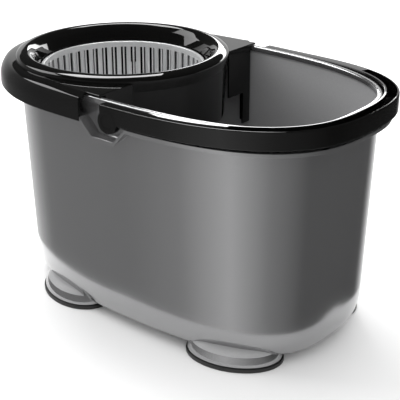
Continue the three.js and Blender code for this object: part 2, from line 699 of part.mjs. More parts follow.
/** The skirt that hooks over the rim and the ledge, and flares round the wringer's end. */
function coverSkirt() {
  const band = planRing((x) => {
    const flare = ease(POCKET_START - x, 0, SKIRT_FLARE);
    const out = SKIRT_OUTSET_SIDE + (SKIRT_OUTSET_END - SKIRT_OUTSET_SIDE) * flare;
    const side = (wall) => ([share, up]) => [out * share - wall, RIM_Z + up];
    return [
      [-BEAD_WIDTH, COVER_UNDER_Z + 2 * GAP],
      [RUN, COVER_UNDER_Z + 2 * GAP],
      ...SKIRT_INSIDE.map(side(COVER_WALL)),
      [out - COVER_WALL, SKIRT_BOTTOM_Z],
      [out, SKIRT_BOTTOM_Z],
      ...SKIRT_OUTSIDE.map(side(0)),
      [0, COVER_TOP_Z + GAP],
      [-BEAD_WIDTH, COVER_TOP_Z + GAP],
    ];
  });
  return cut(band, basinSide(POCKET_START, SKIRT_BOTTOM_Z - OVER));
}

/** The upright cheeks under the plate's front edge, each with a leg down the bucket's wall. */
function coverCheeks() {
  const outerY = RIM_HALF_WIDTH - INSERT_INSET - RUN;
  const front = WRINGER_X + COVER_WALL;
  const innerY = Math.sqrt(Math.max(0, (DRUM_RADIUS + RUN) ** 2 - front ** 2));
  const top = COVER_UNDER_Z + COVER_WALL / 2;
  const [bottom, legBottom] = [RIM_Z - CHEEK_DROP, RIM_Z - CHEEK_LEG_DROP];
  return SIDES.flatMap((side) => {
    const plate = (x0, near, far, z0, z1) => {
      const [y0, y1] = [side * near, side * far].sort((a, b) => a - b);
      return block([x0, y0, z0], [0, y1, z1]);
    };
    return [
      plate(-COVER_WALL, innerY, outerY, bottom, top),
      plate(-COVER_WALL, outerY - CHEEK_LEG_WIDTH, outerY, legBottom, bottom + OVER),
      plate(-CHEEK_LEG_WIDTH, outerY - COVER_WALL, outerY, legBottom, top),
    ];
  });
}

/** Where the screws stand round the wringer's axis. */
const SCREW_PLACES = SCREW_ANGLES.map((degrees) => {
  const angle = THREE.MathUtils.degToRad(degrees);
  return [WRINGER_X + SCREW_CIRCLE * Math.cos(angle), SCREW_CIRCLE * Math.sin(angle)];
});

/** The cover's one moulding, with a drilled pillar over each screw. */
function wringerCover() {
  const pillars = SCREW_PLACES.map(([x, y]) =>
    upright(PILLAR_RADIUS, x, y, STEP_TOP_Z + RUN, RING_CREST_Z - COVER_WALL, SCREW_SEGMENTS),
  );
  const pilots = SCREW_PLACES.map(([x, y]) =>
    upright(SCREW_RADIUS + GAP, x, y, STEP_TOP_Z - OVER, SCREW_TIP_Z + OVER, SCREW_SEGMENTS),
  );
  const shell = joined(coverRing(), coverPlate(), coverSkirt(), ...coverCheeks(), ...pillars);
  return cut(shell, ...pilots);
}

// ---- drum ------------------------------------------------------------------------------------
/** The drum's outside at inset 0, or the room inside it at inset DRUM_WALL. */
function drumSolid(inset) {
  const stepZ = DRUM_STEP_Z + inset;
  const bottom = BOWL_BOTTOM_Z + inset;
  const top = inset ? DRUM_TOP_Z + OVER : DRUM_TOP_Z;
  const [drum, bowl] = [DRUM_RADIUS - inset, BOWL_RADIUS - inset];
  const [bowlFoot, drumFoot] = [bowl - BOWL_TAPER, drum - DRUM_TAPER];
  const [corner, stepRound] = [BOWL_CORNER - inset, STEP_ROUND - inset];
  const shape = turned(
    [
      [0, bottom],
      [bowlFoot - corner, bottom],
      [bowlFoot - corner * ARC, bottom + corner * ARC],
      [bowlFoot, bottom + corner],
      [bowl, stepZ],
      [drumFoot - stepRound, stepZ],
      [drumFoot - stepRound * ARC, stepZ + stepRound * ARC],
      [drumFoot, stepZ + stepRound],
      [drum, top],
      [0, top],
    ],
    DRUM_SEGMENTS,
    WRINGER_X,
  );
  const room = planBody([
    [-(INSERT_INSET + inset), BOWL_BOTTOM_Z - OVER],
    [-(INSERT_INSET + inset), DRUM_TOP_Z + 2 * OVER],
  ]);
  return shape.intersect(room);
}

/** Radial slots round the wringer's axis, cut through z0..z1. */
function radialSlots(count, width, from, to, z0, z1) {
  const slots = Array.from({ length: count }, (_, i) => {
    const bar = new THREE.BoxGeometry(to - from, width, z1 - z0);
    bar.translate((from + to) / 2, 0, (z0 + z1) / 2);
    bar.rotateZ((2 * Math.PI * (i + 1 / 2)) / count);
    return solidOf(bar.translate(WRINGER_X, 0, 0));
  });
  return joined(...slots);
}

/** The drum: a bowl with drains, a pedestal for the spindle, and a wall above a step. */
function wringerDrum() {
  const pedestal = axisBar(PEDESTAL_RADIUS, BOWL_BOTTOM_Z, PEDESTAL_TOP_Z);
  const bore = axisBar(SPINDLE_RADIUS + GAP, BOWL_BOTTOM_Z - OVER, PEDESTAL_TOP_Z + OVER);
  const drains = radialSlots(
    DRAIN_SLOTS,
    DRAIN_WIDTH,
    PEDESTAL_RADIUS + DRAIN_FROM_PEDESTAL,
    BOWL_RADIUS - DRAIN_FROM_WALL,
    BOWL_BOTTOM_Z - OVER,
    BOWL_BOTTOM_Z + DRUM_WALL + OVER,
  );
  const holes = SCREW_PLACES.map(([x, y]) =>
    upright(SCREW_RADIUS + 2 * GAP, x, y, DRUM_STEP_Z - OVER, STEP_TOP_Z + OVER, SCREW_SEGMENTS),
  );
  const shell = cut(drumSolid(0), drumSolid(DRUM_WALL));
  return cut(joined(shell, pedestal), bore, drains, ...holes);
}

/** A pan-head screw driven up through the drum's step. */
function drumScrew([x, y]) {
  const head = SCREW_SEAT_Z - SCREW_HEAD_THICK;
  return turned(
    [
      [0, head],
      [SCREW_HEAD_RADIUS - SCREW_HEAD_ROUND, head],
      [SCREW_HEAD_RADIUS, head + SCREW_HEAD_ROUND],
      [SCREW_HEAD_RADIUS, SCREW_SEAT_Z],
      [SCREW_RADIUS, SCREW_SEAT_Z],
      [SCREW_RADIUS, SCREW_TIP_Z - SCREW_RADIUS],
      [0, SCREW_TIP_Z],
    ],
    SCREW_SEGMENTS,
    x,
    y,
  );
}

// ---- spindle and bearings --------------------------------------------------------------------
/** The steel spindle, with a flange that sits on the drum's pedestal. */
function spindle() {
  return turned(
    [
      [0, LOWER_NUT_Z - SPINDLE_CHAMFER],
      [SPINDLE_RADIUS - SPINDLE_CHAMFER, LOWER_NUT_Z - SPINDLE_CHAMFER],
      [SPINDLE_RADIUS, LOWER_NUT_Z],
      [SPINDLE_RADIUS, FLANGE_BOTTOM_Z],
      [SPINDLE_FLANGE_RADIUS, FLANGE_BOTTOM_Z],
      [SPINDLE_FLANGE_RADIUS, FLANGE_TOP_Z],
      [SPINDLE_RADIUS, FLANGE_TOP_Z],
      [SPINDLE_RADIUS, SPINDLE_TOP_Z - SPINDLE_CHAMFER],
      [SPINDLE_RADIUS - SPINDLE_CHAMFER, SPINDLE_TOP_Z],
      [0, SPINDLE_TOP_Z],
    ],
    SMALL_SEGMENTS,
    WRINGER_X,
  );
}

/** A flat ring on the wringer's axis, height thick from z up. */
function axisRing(bore, outer, z, height, segments = SMALL_SEGMENTS) {
  const top = z + height;
  return cut(axisBar(outer, z, top, segments), axisBar(bore, z - OVER, top + OVER));
}

/** A hexagon nut on the spindle. */
const spindleNut = (z) => axisRing(SPINDLE_RADIUS + GAP, NUT_RADIUS, z, NUT_THICK, HEXAGON);

/** A washer on the spindle. */
const spindleWasher = (outer, z) => axisRing(SPINDLE_RADIUS + GAP, outer, z, WASHER_THICK);

/** A bush pressed into the basket's hub. */
const hubBush = (z) => axisRing(BUSH_BORE, BUSH_OUTER, z, BUSH_LENGTH);

// ---- basket ----------------------------------------------------------------------------------
/** The basket's shell: a flanged rim, a tapered wall, a floor and the hub's cone. */
function basketShell() {
  const [wall, foot, corner] = [BASKET_RADIUS, BASKET_RADIUS - BASKET_TAPER, BASKET_CORNER];
  const [footIn, cornerIn] = [foot - BASKET_WALL, corner - BASKET_WALL];
  const flangeZ = BASKET_TOP_Z - BASKET_FLANGE_THICK;
  const flange = wall + BASKET_FLANGE_OUTSET;
  return turnedShell(
    [
      [BUSH_OUTER + GAP, BASKET_BOTTOM_Z],
      [foot - corner, BASKET_BOTTOM_Z],
      [foot - corner * ARC, BASKET_BOTTOM_Z + corner * ARC],
      [foot, BASKET_BOTTOM_Z + corner],
      [wall, flangeZ],
      [flange, flangeZ],
      [flange, BASKET_TOP_Z - BASKET_FLANGE_ROUND],
      [flange - BASKET_FLANGE_ROUND, BASKET_TOP_Z],
      [wall - BASKET_WALL, BASKET_TOP_Z],
      [footIn, BASKET_BOTTOM_Z + corner],
      [footIn - cornerIn * ARC, BASKET_FLOOR_Z + cornerIn * ARC],
      [footIn - cornerIn, BASKET_FLOOR_Z],
      [HUB_BASE_RADIUS, BASKET_FLOOR_Z],
      [HUB_TOP_RADIUS, HUB_TOP_Z],
      [NUT_WELL_RADIUS, HUB_TOP_Z],
      [NUT_WELL_RADIUS, RETAINER_Z - GAP],
      [BUSH_OUTER + GAP, RETAINER_Z - GAP],
    ],
    RING_SEGMENTS,
  );
}

/** The basket with its wall slots and floor drains. */
function basket() {
  const slotFoot = BASKET_BOTTOM_Z + BASKET_SLOT_FOOT;
  const slotTop = BASKET_TOP_Z - BASKET_BAND;
  const inside = BASKET_RADIUS - BASKET_TAPER - 2 * BASKET_WALL;
  const outside = BASKET_RADIUS + OVER;
  const slots = radialSlots(BASKET_SLOTS, BASKET_SLOT_WIDTH, inside, outside, slotFoot, slotTop);
  const drains = radialSlots(
    BASKET_DRAINS,
    BASKET_DRAIN_WIDTH,
    HUB_BASE_RADIUS + BASKET_DRAIN_FROM_HUB,
    BASKET_RADIUS - BASKET_DRAIN_FROM_WALL,
    BASKET_BOTTOM_Z - OVER,
    BASKET_FLOOR_Z + OVER,
  );
  return cut(basketShell(), slots, drains);
}

/** The cap over the hub that centres the mop's plate. */
function hubCap() {
  const seat = HUB_TOP_Z + GAP;
  const top = seat + CAP_HEIGHT;
  const [domeEdge, domeTop] = [HUB_TOP_RADIUS / 2, HUB_TOP_RADIUS / 4];
  return turned(
    [
      [0, top],
      [domeTop, top - CAP_LIP / 2],
      [domeEdge, top - 2 * CAP_LIP],
      [HUB_TOP_RADIUS - CAP_LIP, seat + 2 * CAP_LIP],
      [HUB_TOP_RADIUS, seat + CAP_LIP],
      [HUB_TOP_RADIUS, seat],
      [NUT_WELL_RADIUS, seat],
      [NUT_WELL_RADIUS - CAP_LIP / 2, seat + 2 * CAP_LIP],
      [domeEdge - CAP_LIP, top - CAP_WALL - CAP_LIP],
      [0, top - CAP_WALL],
    ],
    SMALL_SEGMENTS,
    WRINGER_X,
  );
}

// ---- assembly --------------------------------------------------------------------------------
const BUCKET_GREY = { color: 0x77787a, roughness: 0.3, metalness: 0.35 };
const GLOSS_BLACK = { color: 0x0c0c0d, roughness: 0.12, metalness: 0 };
const BASKET_SILVER = { color: 0xbfc1c4, roughness: 0.3, metalness: 0.2 };
const SOLE_RUBBER = { color: 0x171717, roughness: 0.7, metalness: 0 };
const STEEL = { color: 0xb8babd, roughness: 0.25, metalness: 1 };
const BUSH_PLASTIC = { color: 0xe6e3da, roughness: 0.5, metalness: 0 };

const bucketGroup = new THREE.Group();
bucketGroup.add(part("bucket_body", bucketBody(), BUCKET_GREY));
FEET.forEach((foot) => {
  bucketGroup.add(part(`foot_sole_${foot.name}`, footSole(foot), SOLE_RUBBER));
});
bucketGroup.add(part("pivot_pin_front", pivotPin(-1), GLOSS_BLACK));
bucketGroup.add(part("pivot_pin_rear", pivotPin(1), GLOSS_BLACK));

const handleGroup = new THREE.Group();
handleGroup.add(part("handle", handle(), GLOSS_BLACK));

const basketGroup = new THREE.Group();
basketGroup.add(part("basket", basket(), BASKET_SILVER));
basketGroup.add(part("basket_hub_cap", hubCap(), BASKET_SILVER));
basketGroup.add(part("lower_bush", hubBush(LOWER_BUSH_Z), BUSH_PLASTIC));
basketGroup.add(part("upper_bush", hubBush(UPPER_BUSH_Z), BUSH_PLASTIC));

const wringerGroup = new THREE.Group();
wringerGroup.add(part("wringer_cover", wringerCover(), GLOSS_BLACK));
wringerGroup.add(part("wringer_drum", wringerDrum(), GLOSS_BLACK));
SCREW_PLACES.forEach((place, i) => {
  wringerGroup.add(part(`drum_screw_${i + 1}`, drumScrew(place), STEEL));
});
wringerGroup.add(part("spindle", spindle(), STEEL));
wringerGroup.add(part("spindle_lower_nut", spindleNut(LOWER_NUT_Z), STEEL));
wringerGroup.add(part("spindle_upper_nut", spindleNut(TOP_NUT_Z), STEEL));
const thrust = spindleWasher(SPINDLE_FLANGE_RADIUS, FLANGE_TOP_Z + GAP);
wringerGroup.add(part("thrust_washer", thrust, STEEL));
wringerGroup.add(part("retaining_washer", spindleWasher(NUT_RADIUS, RETAINER_Z), STEEL));
wringerGroup.add(basketGroup);

const mopBucket = new THREE.Group();
mopBucket.name = "mop_bucket";
mopBucket.add(bucketGroup, handleGroup, wringerGroup);
const basinEnd = BASIN_REACH + HANDLE_OUTSET_GRIP;
const wringerEnd = WRINGER_REACH + SKIRT_OUTSET_END;
mopBucket.position.x = (wringerEnd - basinEnd) / 2;

export default mopBucket;
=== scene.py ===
"""Looks of a mop bucket with a lift-out spin wringer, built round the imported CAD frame."""

import logging
import math
from collections.abc import Callable, Sequence
from dataclasses import dataclass, field
from enum import Enum

import bmesh
import bpy
import numpy as np
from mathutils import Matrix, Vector


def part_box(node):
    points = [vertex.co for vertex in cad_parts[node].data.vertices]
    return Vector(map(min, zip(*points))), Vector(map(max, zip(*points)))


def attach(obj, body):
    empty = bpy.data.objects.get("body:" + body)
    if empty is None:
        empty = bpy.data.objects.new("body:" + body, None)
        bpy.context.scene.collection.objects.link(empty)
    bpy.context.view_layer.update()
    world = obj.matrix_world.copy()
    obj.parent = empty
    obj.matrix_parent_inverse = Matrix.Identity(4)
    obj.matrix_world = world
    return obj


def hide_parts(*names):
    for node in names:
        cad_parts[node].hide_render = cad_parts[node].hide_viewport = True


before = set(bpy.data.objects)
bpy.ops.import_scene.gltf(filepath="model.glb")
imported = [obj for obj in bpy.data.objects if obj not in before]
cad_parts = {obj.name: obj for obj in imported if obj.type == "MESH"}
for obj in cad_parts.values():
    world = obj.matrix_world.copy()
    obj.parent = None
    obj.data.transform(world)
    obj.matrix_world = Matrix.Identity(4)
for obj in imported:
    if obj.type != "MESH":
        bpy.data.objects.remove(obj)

LOG = logging.getLogger("mop_bucket")
MM = 0.001
TURN = 2 * math.pi
# Face attribute for the shell's inner faces, which get no metallic so they render lighter: painted
# light on the inner wall.
INNER_PAINTED_LIGHT = "lining"
ROUND_STEPS = 240
SHARP_ANGLE = 32.0

Profile = list[tuple[float, float]]
Corner = tuple[float, float, float]
Inputs = dict[str | int, object]


# ---- measures read from the frame ------------------------------------------------------------
@dataclass(frozen=True)
class Span:
    """A CAD node's box, in millimetres."""

    low: tuple[float, float, float]
    high: tuple[float, float, float]

    @classmethod
    def of(cls, node: str) -> "Span":
        """The box of a CAD node.

        Args:
            node: The node's name.

        Returns:
            Its lowest and highest corner in millimetres.
        """
        low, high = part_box(node)
        return cls(tuple(v / MM for v in low), tuple(v / MM for v in high))

    def middle(self, axis: int) -> float:
        """The middle of the box along one axis."""
        return (self.low[axis] + self.high[axis]) / 2

    def size(self, axis: int) -> float:
        """The length of the box along one axis."""
        return self.high[axis] - self.low[axis]


@dataclass(frozen=True)
class Plan:
    """The rim's outline: a superellipse whose two ends differ in reach and squareness."""

    middle: float
    basin_reach: float
    wringer_reach: float
    half_width: float
    basin_squareness: float = 2.77
    wringer_squareness: float = 2.3

    @classmethod
    def from_frame(
        cls,
        skirt_outset: float = 20.0,
        ledge_outset: float = 11.2,
        pivot_x: float = 21.0,
        pin_outset: float = 11.8,
    ) -> "Plan":
        """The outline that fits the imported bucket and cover.

        Args:
            skirt_outset: How far the cover's skirt stands outside the rim at the wringer's end.
            ledge_outset: How far the ledge stands outside the rim.
            pivot_x: The pivot's distance from the line where the cover ends.
            pin_outset: How far the pivot pins' heads stand outside the rim.

        Returns:
            The outline in the row frame.
        """
        body, cover = Span.of("bucket_body"), Span.of("wringer_cover")
        pin = Span.of("pivot_pin_rear")
        middle = pin.middle(0) - pivot_x
        return cls(
            middle=middle,
            basin_reach=body.high[0] - ledge_outset - middle,
            wringer_reach=middle - cover.low[0] - skirt_outset,
            half_width=pin.high[1] - pin_outset,
        )

    def points(self, turns: np.ndarray, outset: np.ndarray | float) -> np.ndarray:
        """Points of the outline moved outwards.

        Args:
            turns: The outline's parameter angles.
            outset: How far outside the rim, one value or one for each angle.

        Returns:
            An array whose last axis is x, y and the outline's own x from its middle.
        """
        c, s = np.cos(turns), np.sin(turns)
        reach = np.where(c >= 0, self.basin_reach, self.wringer_reach)
        n = np.where(c >= 0, self.basin_squareness, self.wringer_squareness)
        u, v = np.abs(c) ** (2 / n), np.abs(s) ** (2 / n)
        along = np.sign(c) * u ** (n - 1) / reach
        across = np.sign(s) * v ** (n - 1) / self.half_width
        length = np.hypot(along, across)
        x, y = np.sign(c) * reach * u, np.sign(s) * self.half_width * v
        moved_x = self.middle + x + outset * along / length
        return np.stack([moved_x, y + outset * across / length, x], -1)

    def turn_at(self, x: float) -> float:
        """The parameter angle of the outline's point at x from its middle, on the rear side."""
        reach, n = self.wringer_reach, self.wringer_squareness
        if x >= 0:
            reach, n = self.basin_reach, self.basin_squareness
        return math.acos(math.copysign(min(1.0, abs(x) / reach) ** (n / 2), x))

    def even_turns(self, start: float, end: float, count: int) -> np.ndarray:
        """Parameter angles an equal way apart along the outline.

        Args:
            start: First angle.
            end: Last angle.
            count: How many steps.

        Returns:
            The count + 1 angles.
        """
        fine = np.linspace(start, end, 4001)
        xy = self.points(fine, 0.0)[:, :2]
        run = np.concatenate([[0], np.cumsum(np.hypot(*np.diff(xy, axis=0).T))])
        return np.interp(np.linspace(0, run[-1], count + 1), run, fine)


def eased(share: float) -> float:
    """A share from 0 to 1 with a smooth start and end."""
    return share * share * (3 - 2 * share)


# ---- mesh making -----------------------------------------------------------------------------
MOST_OF_HALF = 0.49  # of an edge, so that the roundings at its two ends never meet


def linked(name: str, data: bpy.types.ID) -> bpy.types.Object:
    """A new object in the scene.

    Args:
        name: The object's name.
        data: Its mesh, light or camera.

    Returns:
        The object.
    """
    obj = bpy.data.objects.new(name, data)
    bpy.context.scene.collection.objects.link(obj)
    return obj


def filleted(corners: Sequence[Corner], steps: int = 4) -> Profile:
    """A polyline whose corners are rounded.

    Args:
        corners: (u, v, radius) points; a radius of 0 leaves the corner sharp.
        steps: Points less one that each rounded corner takes.

    Returns:
        The (u, v) points, the same number for any radii above 0.
    """
    out: Profile = []
    count = len(corners)
    for i, (u, v, radius) in enumerate(corners):
        if radius <= 0:
            out.append((u, v))
            continue
        before, after = corners[i - 1], corners[(i + 1) % count]
        here = np.array([u, v])
        back, ahead = np.array(before[:2]) - here, np.array(after[:2]) - here
        arms = [np.linalg.norm(arm) for arm in (back, ahead)]
        reach = [min(radius, MOST_OF_HALF * arm) / max(arm, 1e-9) for arm in arms]
        p0, p2 = here + back * reach[0], here + ahead * reach[1]
        for t in np.linspace(0, 1, steps + 1):
            p = (1 - t) ** 2 * p0 + 2 * t * (1 - t) * here + t**2 * p2
            out.append((float(p[0]), float(p[1])))
    return out


def shade(obj: bpy.types.Object, sharp: float = SHARP_ANGLE) -> bpy.types.Object:
    """Shades smooth between edges that turn by more than an angle in degrees."""
    obj.data.shade_smooth()
    obj.data.set_sharp_from_angle(angle=math.radians(sharp))
    return obj


def finish_mesh(obj: bpy.types.Object, sharp: float = SHARP_ANGLE) -> bpy.types.Object:
    """Merges doubles, turns every face outwards and shades smooth between sharp edges.

    Args:
        obj: The mesh object.
        sharp: The angle in degrees past which an edge is sharp.

    Returns:
        The same object.
    """
    made = bmesh.new()
    made.from_mesh(obj.data)
    bmesh.ops.remove_doubles(made, verts=made.verts, dist=2e-6)
    bmesh.ops.dissolve_degenerate(made, edges=made.edges, dist=1e-6)
    bmesh.ops.recalc_face_normals(made, faces=made.faces)
    made.to_mesh(obj.data)
    made.free()
    return shade(obj, sharp)


def mesh_object(
    name: str, points: np.ndarray, faces: list[list[int]], sharp: float = SHARP_ANGLE
) -> bpy.types.Object:
    """An object from points in millimetres and faces.

    Args:
        name: The object's name.
        points: (n, 3) places in millimetres, in the row frame.
        faces: Vertex numbers of each face.
        sharp: The angle in degrees past which an edge is sharp.

    Returns:
        The new object, linked to the scene.
    """
    data = bpy.data.meshes.new(name)
    data.from_pydata((points * MM).tolist(), [], faces)
    return finish_mesh(linked(name, data), sharp)


def grid_faces(
    rows: int, columns: int, wrap_rows: bool, wrap_columns: bool, caps: bool
) -> list[list[int]]:
    """The quads of a grid of vertices numbered row by row.

    Args:
        rows: Rows of vertices.
        columns: Columns of vertices.
        wrap_rows: Whether the last row joins the first.
        wrap_columns: Whether the last column joins the first.
        caps: Whether the first and last row are each closed by one face.

    Returns:
        The faces as lists of vertex numbers.
    """
    faces = []
    for r in range(rows if wrap_rows else rows - 1):
        for c in range(columns if wrap_columns else columns - 1):
            r1, c1 = (r + 1) % rows, (c + 1) % columns
            faces.append([r * columns + c, r * columns + c1, r1 * columns + c1, r1 * columns + c])
    if caps:
        faces.append(list(range(columns)))
        faces.append([(rows - 1) * columns + c for c in range(columns)][::-1])
    return faces


def lofted(
    name: str, points: np.ndarray, closed: bool, sharp: float = SHARP_ANGLE
) -> bpy.types.Object:
    """A loft through rings of points.

    Args:
        name: The object's name.
        points: (rings, points in a ring, 3) places in millimetres.
        closed: Whether the last ring joins the first; if not, both ends are capped.
        sharp: The angle in degrees past which an edge is sharp.

    Returns:
        The new object.
    """
    rows, columns = points.shape[:2]
    faces = grid_faces(rows, columns, closed, True, not closed)
    return mesh_object(name, points.reshape(-1, 3), faces, sharp)


def turned(
    name: str, profile: Profile, centre: tuple[float, float], segments: int = 128
) -> bpy.types.Object:
    """A body turned round an upright axis from a closed profile.

    Args:
        name: The object's name.
        profile: (radius, z) points that close on themselves.
        centre: The axis in plan.
        segments: Steps round the axis.

    Returns:
        The new object.
    """
    angles = np.linspace(0, TURN, segments, endpoint=False)
    ring = np.array(profile)
    x = centre[0] + np.outer(np.cos(angles), ring[:, 0])
    y = centre[1] + np.outer(np.sin(angles), ring[:, 0])
    z = np.broadcast_to(ring[:, 1], x.shape)
    return lofted(name, np.stack([x, y, z], -1), True)


def spoke(axis: tuple[float, float], angle: float, profile: Profile) -> list[Corner]:
    """A (radius, z) profile stood on an upright axis at one angle.

    Args:
        axis: The axis in plan.
        angle: The direction from the axis.
        profile: The (radius, z) points.

    Returns:
        The points' places.
    """
    c, s = math.cos(angle), math.sin(angle)
    return [(axis[0] + r * c, axis[1] + r * s, z) for r, z in profile]


def block(
    name: str, low: Sequence[float], high: Sequence[float], round_edge: float = 0.0
) -> bpy.types.Object:
    """A box, with small rounded edges if wanted.

    Args:
        name: The object's name.
        low: Lowest corner.
        high: Highest corner.
        round_edge: The edges' rounding, or 0 for sharp ones.

    Returns:
        The new object.
    """
    plan = ((low[0], low[1]), (high[0], low[1]), (high[0], high[1]), (low[0], high[1]))
    corners = [(x, y, z) for z in (low[2], high[2]) for x, y in plan]
    obj = lofted(name, np.array(corners, float).reshape(2, 4, 3), False)
    if round_edge:
        bevel = obj.modifiers.new("edges", "BEVEL")
        bevel.width, bevel.segments = round_edge * MM, 3
        apply_modifiers(obj)
    return obj


def apply_modifiers(obj: bpy.types.Object) -> bpy.types.Object:
    """Bakes an object's modifiers into a plain mesh.

    Args:
        obj: The object.

    Returns:
        The same object without modifiers.
    """
    graph = bpy.context.evaluated_depsgraph_get()
    live = obj.evaluated_get(graph)
    data = bpy.data.meshes.new_from_object(live, preserve_all_data_layers=True, depsgraph=graph)
    old = obj.data
    obj.modifiers.clear()
    obj.data = data
    bpy.data.meshes.remove(old)
    data.name = obj.name
    return obj


class Join(Enum):
    """What a boolean does with the second body."""

    ADD = "UNION"
    CUT = "DIFFERENCE"


def combined(
    base: bpy.types.Object, others: Sequence[bpy.types.Object], how: Join
) -> bpy.types.Object:
    """Adds bodies to a body, or cuts them out of it.

    Args:
        base: The body that is kept.
        others: The bodies that are used up.
        how: What is done with them.

    Returns:
        The base body.
    """
    for other in others:
        step = base.modifiers.new("join", "BOOLEAN")
        step.operation, step.solver, step.object = how.value, "MANIFOLD", other
    apply_modifiers(base)
    for other in others:
        bpy.data.objects.remove(other)
    return shade(base)


# ---- node trees ------------------------------------------------------------------------------
def feed(tree: bpy.types.NodeTree, node: bpy.types.Node, values: Inputs) -> None:
    """Sets a node's inputs to values, or links them to other nodes' sockets.

    Args:
        tree: The tree that the node is in.
        node: The node.
        values: Input name or number to value or socket.
    """
    for key, value in values.items():
        if isinstance(value, bpy.types.NodeSocket):
            tree.links.new(value, node.inputs[key])
        else:
            node.inputs[key].default_value = value


def add_node(
    tree: bpy.types.NodeTree, kind: str, values: Inputs | None = None, **settings: object
) -> bpy.types.Node:
    """A node with its settings and inputs.

    Args:
        tree: The tree that it goes in.
        kind: The node's type.
        values: Input name or number to value or socket.
        **settings: The node's own settings.

    Returns:
        The new node.
    """
    made = tree.nodes.new(kind)
    for name, value in settings.items():
        setattr(made, name, value)
    feed(tree, made, values or {})
    return made


class Tree:
    """A Geometry Nodes tree under construction."""

    def __init__(self, name: str) -> None:
        """An empty tree with one geometry output."""
        self.group = bpy.data.node_groups.new(name, "GeometryNodeTree")
        kind = "NodeSocketGeometry"
        self.group.interface.new_socket("Geometry", in_out="OUTPUT", socket_type=kind)
        self.inputs = self.group.nodes.new("NodeGroupInput")
        self.output = self.group.nodes.new("NodeGroupOutput")

    def size(self, name: str, kind: str) -> bpy.types.NodeSocket:
        """A named input of the tree.

        Args:
            name: The input's name.
            kind: Float, Int, Vector, Object, Material or Geometry.

        Returns:
            The socket that gives its value inside the tree.
        """
        self.group.interface.new_socket(name, in_out="INPUT", socket_type=f"NodeSocket{kind}")
        return self.inputs.outputs[name]

    def node(self, kind: str, values: Inputs | None = None, **settings: object) -> bpy.types.Node:
        """A node whose inputs are values or other nodes' sockets.

        Args:
            kind: The node's type, without its GeometryNode prefix if it has one.
            values: Input name or number to value or socket.
            **settings: The node's own settings.

        Returns:
            The new node.
        """
        known = kind if kind.startswith("Shader") else f"GeometryNode{kind}"
        return add_node(self.group, known, values, **settings)

    def math(self, operation: str, *values: object) -> bpy.types.NodeSocket:
        """The result of one sum on sockets or numbers."""
        return self.node("ShaderNodeMath", dict(enumerate(values)), operation=operation).outputs[0]

    def pick(self, test: bpy.types.NodeSocket, no: object, yes: object) -> bpy.types.NodeSocket:
        """One of two numbers by a test that is 0 or 1."""
        choice = {"Factor": test, 2: no, 3: yes}
        return self.node("ShaderNodeMix", choice, data_type="FLOAT").outputs[0]

    def end(self, geometry: bpy.types.NodeSocket, material: bpy.types.NodeSocket) -> None:
        """Realizes the geometry, gives it its material and sends it out."""
        real = self.node("RealizeInstances", {0: geometry})
        dressed = self.node("SetMaterial", {"Geometry": real.outputs[0], "Material": material})
        self.group.links.new(dressed.outputs[0], self.output.inputs[0])

    def baked(self, host: bpy.types.Object, values: dict[str, object]) -> bpy.types.Object:
        """Runs the tree on a host object and keeps the result as its plain mesh.

        Args:
            host: The object whose mesh the tree starts from.
            values: Value of each named input.

        Returns:
            The host with the baked mesh.
        """
        step = host.modifiers.new(self.group.name, "NODES")
        step.node_group = self.group
        for item in self.group.interface.items_tree:
            if item.in_out == "INPUT" and item.name in values:
                step[item.identifier] = values[item.name]
        return apply_modifiers(host)


def ring_array_tree() -> Tree:
    """A tree that sets copies of one body round an upright axis, each facing outwards.

    Returns:
        The tree; its inputs are Item, Count, Start, Axis and Material.
    """
    tree = Tree("ring_array")
    item, count = tree.size("Item", "Object"), tree.size("Count", "Int")
    start, axis = tree.size("Start", "Float"), tree.size("Axis", "Vector")
    material = tree.size("Material", "Material")
    line = {"Count": count, "Start Location": axis, "Offset": (0.0, 0.0, 0.0)}
    places = tree.node("MeshLine", line).outputs[0]
    index = tree.node("InputIndex").outputs[0]
    step = tree.math("DIVIDE", TURN, count)
    angle = tree.math("MULTIPLY_ADD", index, step, start)
    rotation = tree.node("ShaderNodeCombineXYZ", {"Z": angle}).outputs[0]
    body = tree.node("ObjectInfo", {"Object": item}, transform_space="ORIGINAL").outputs["Geometry"]
    copies = {"Points": places, "Instance": body, "Rotation": rotation}
    tree.end(tree.node("InstanceOnPoints", copies).outputs[0], material)
    return tree


def place_array_tree() -> Tree:
    """A tree that sets an upright copy of one body on each point of its host.

    Returns:
        The tree; its inputs are Places, Item and Material.
    """
    tree = Tree("place_array")
    places, item = tree.size("Places", "Geometry"), tree.size("Item", "Object")
    material = tree.size("Material", "Material")
    body = tree.node("ObjectInfo", {"Object": item}, transform_space="ORIGINAL").outputs["Geometry"]
    copies = tree.node("InstanceOnPoints", {"Points": places, "Instance": body})
    tree.end(copies.outputs[0], material)
    return tree


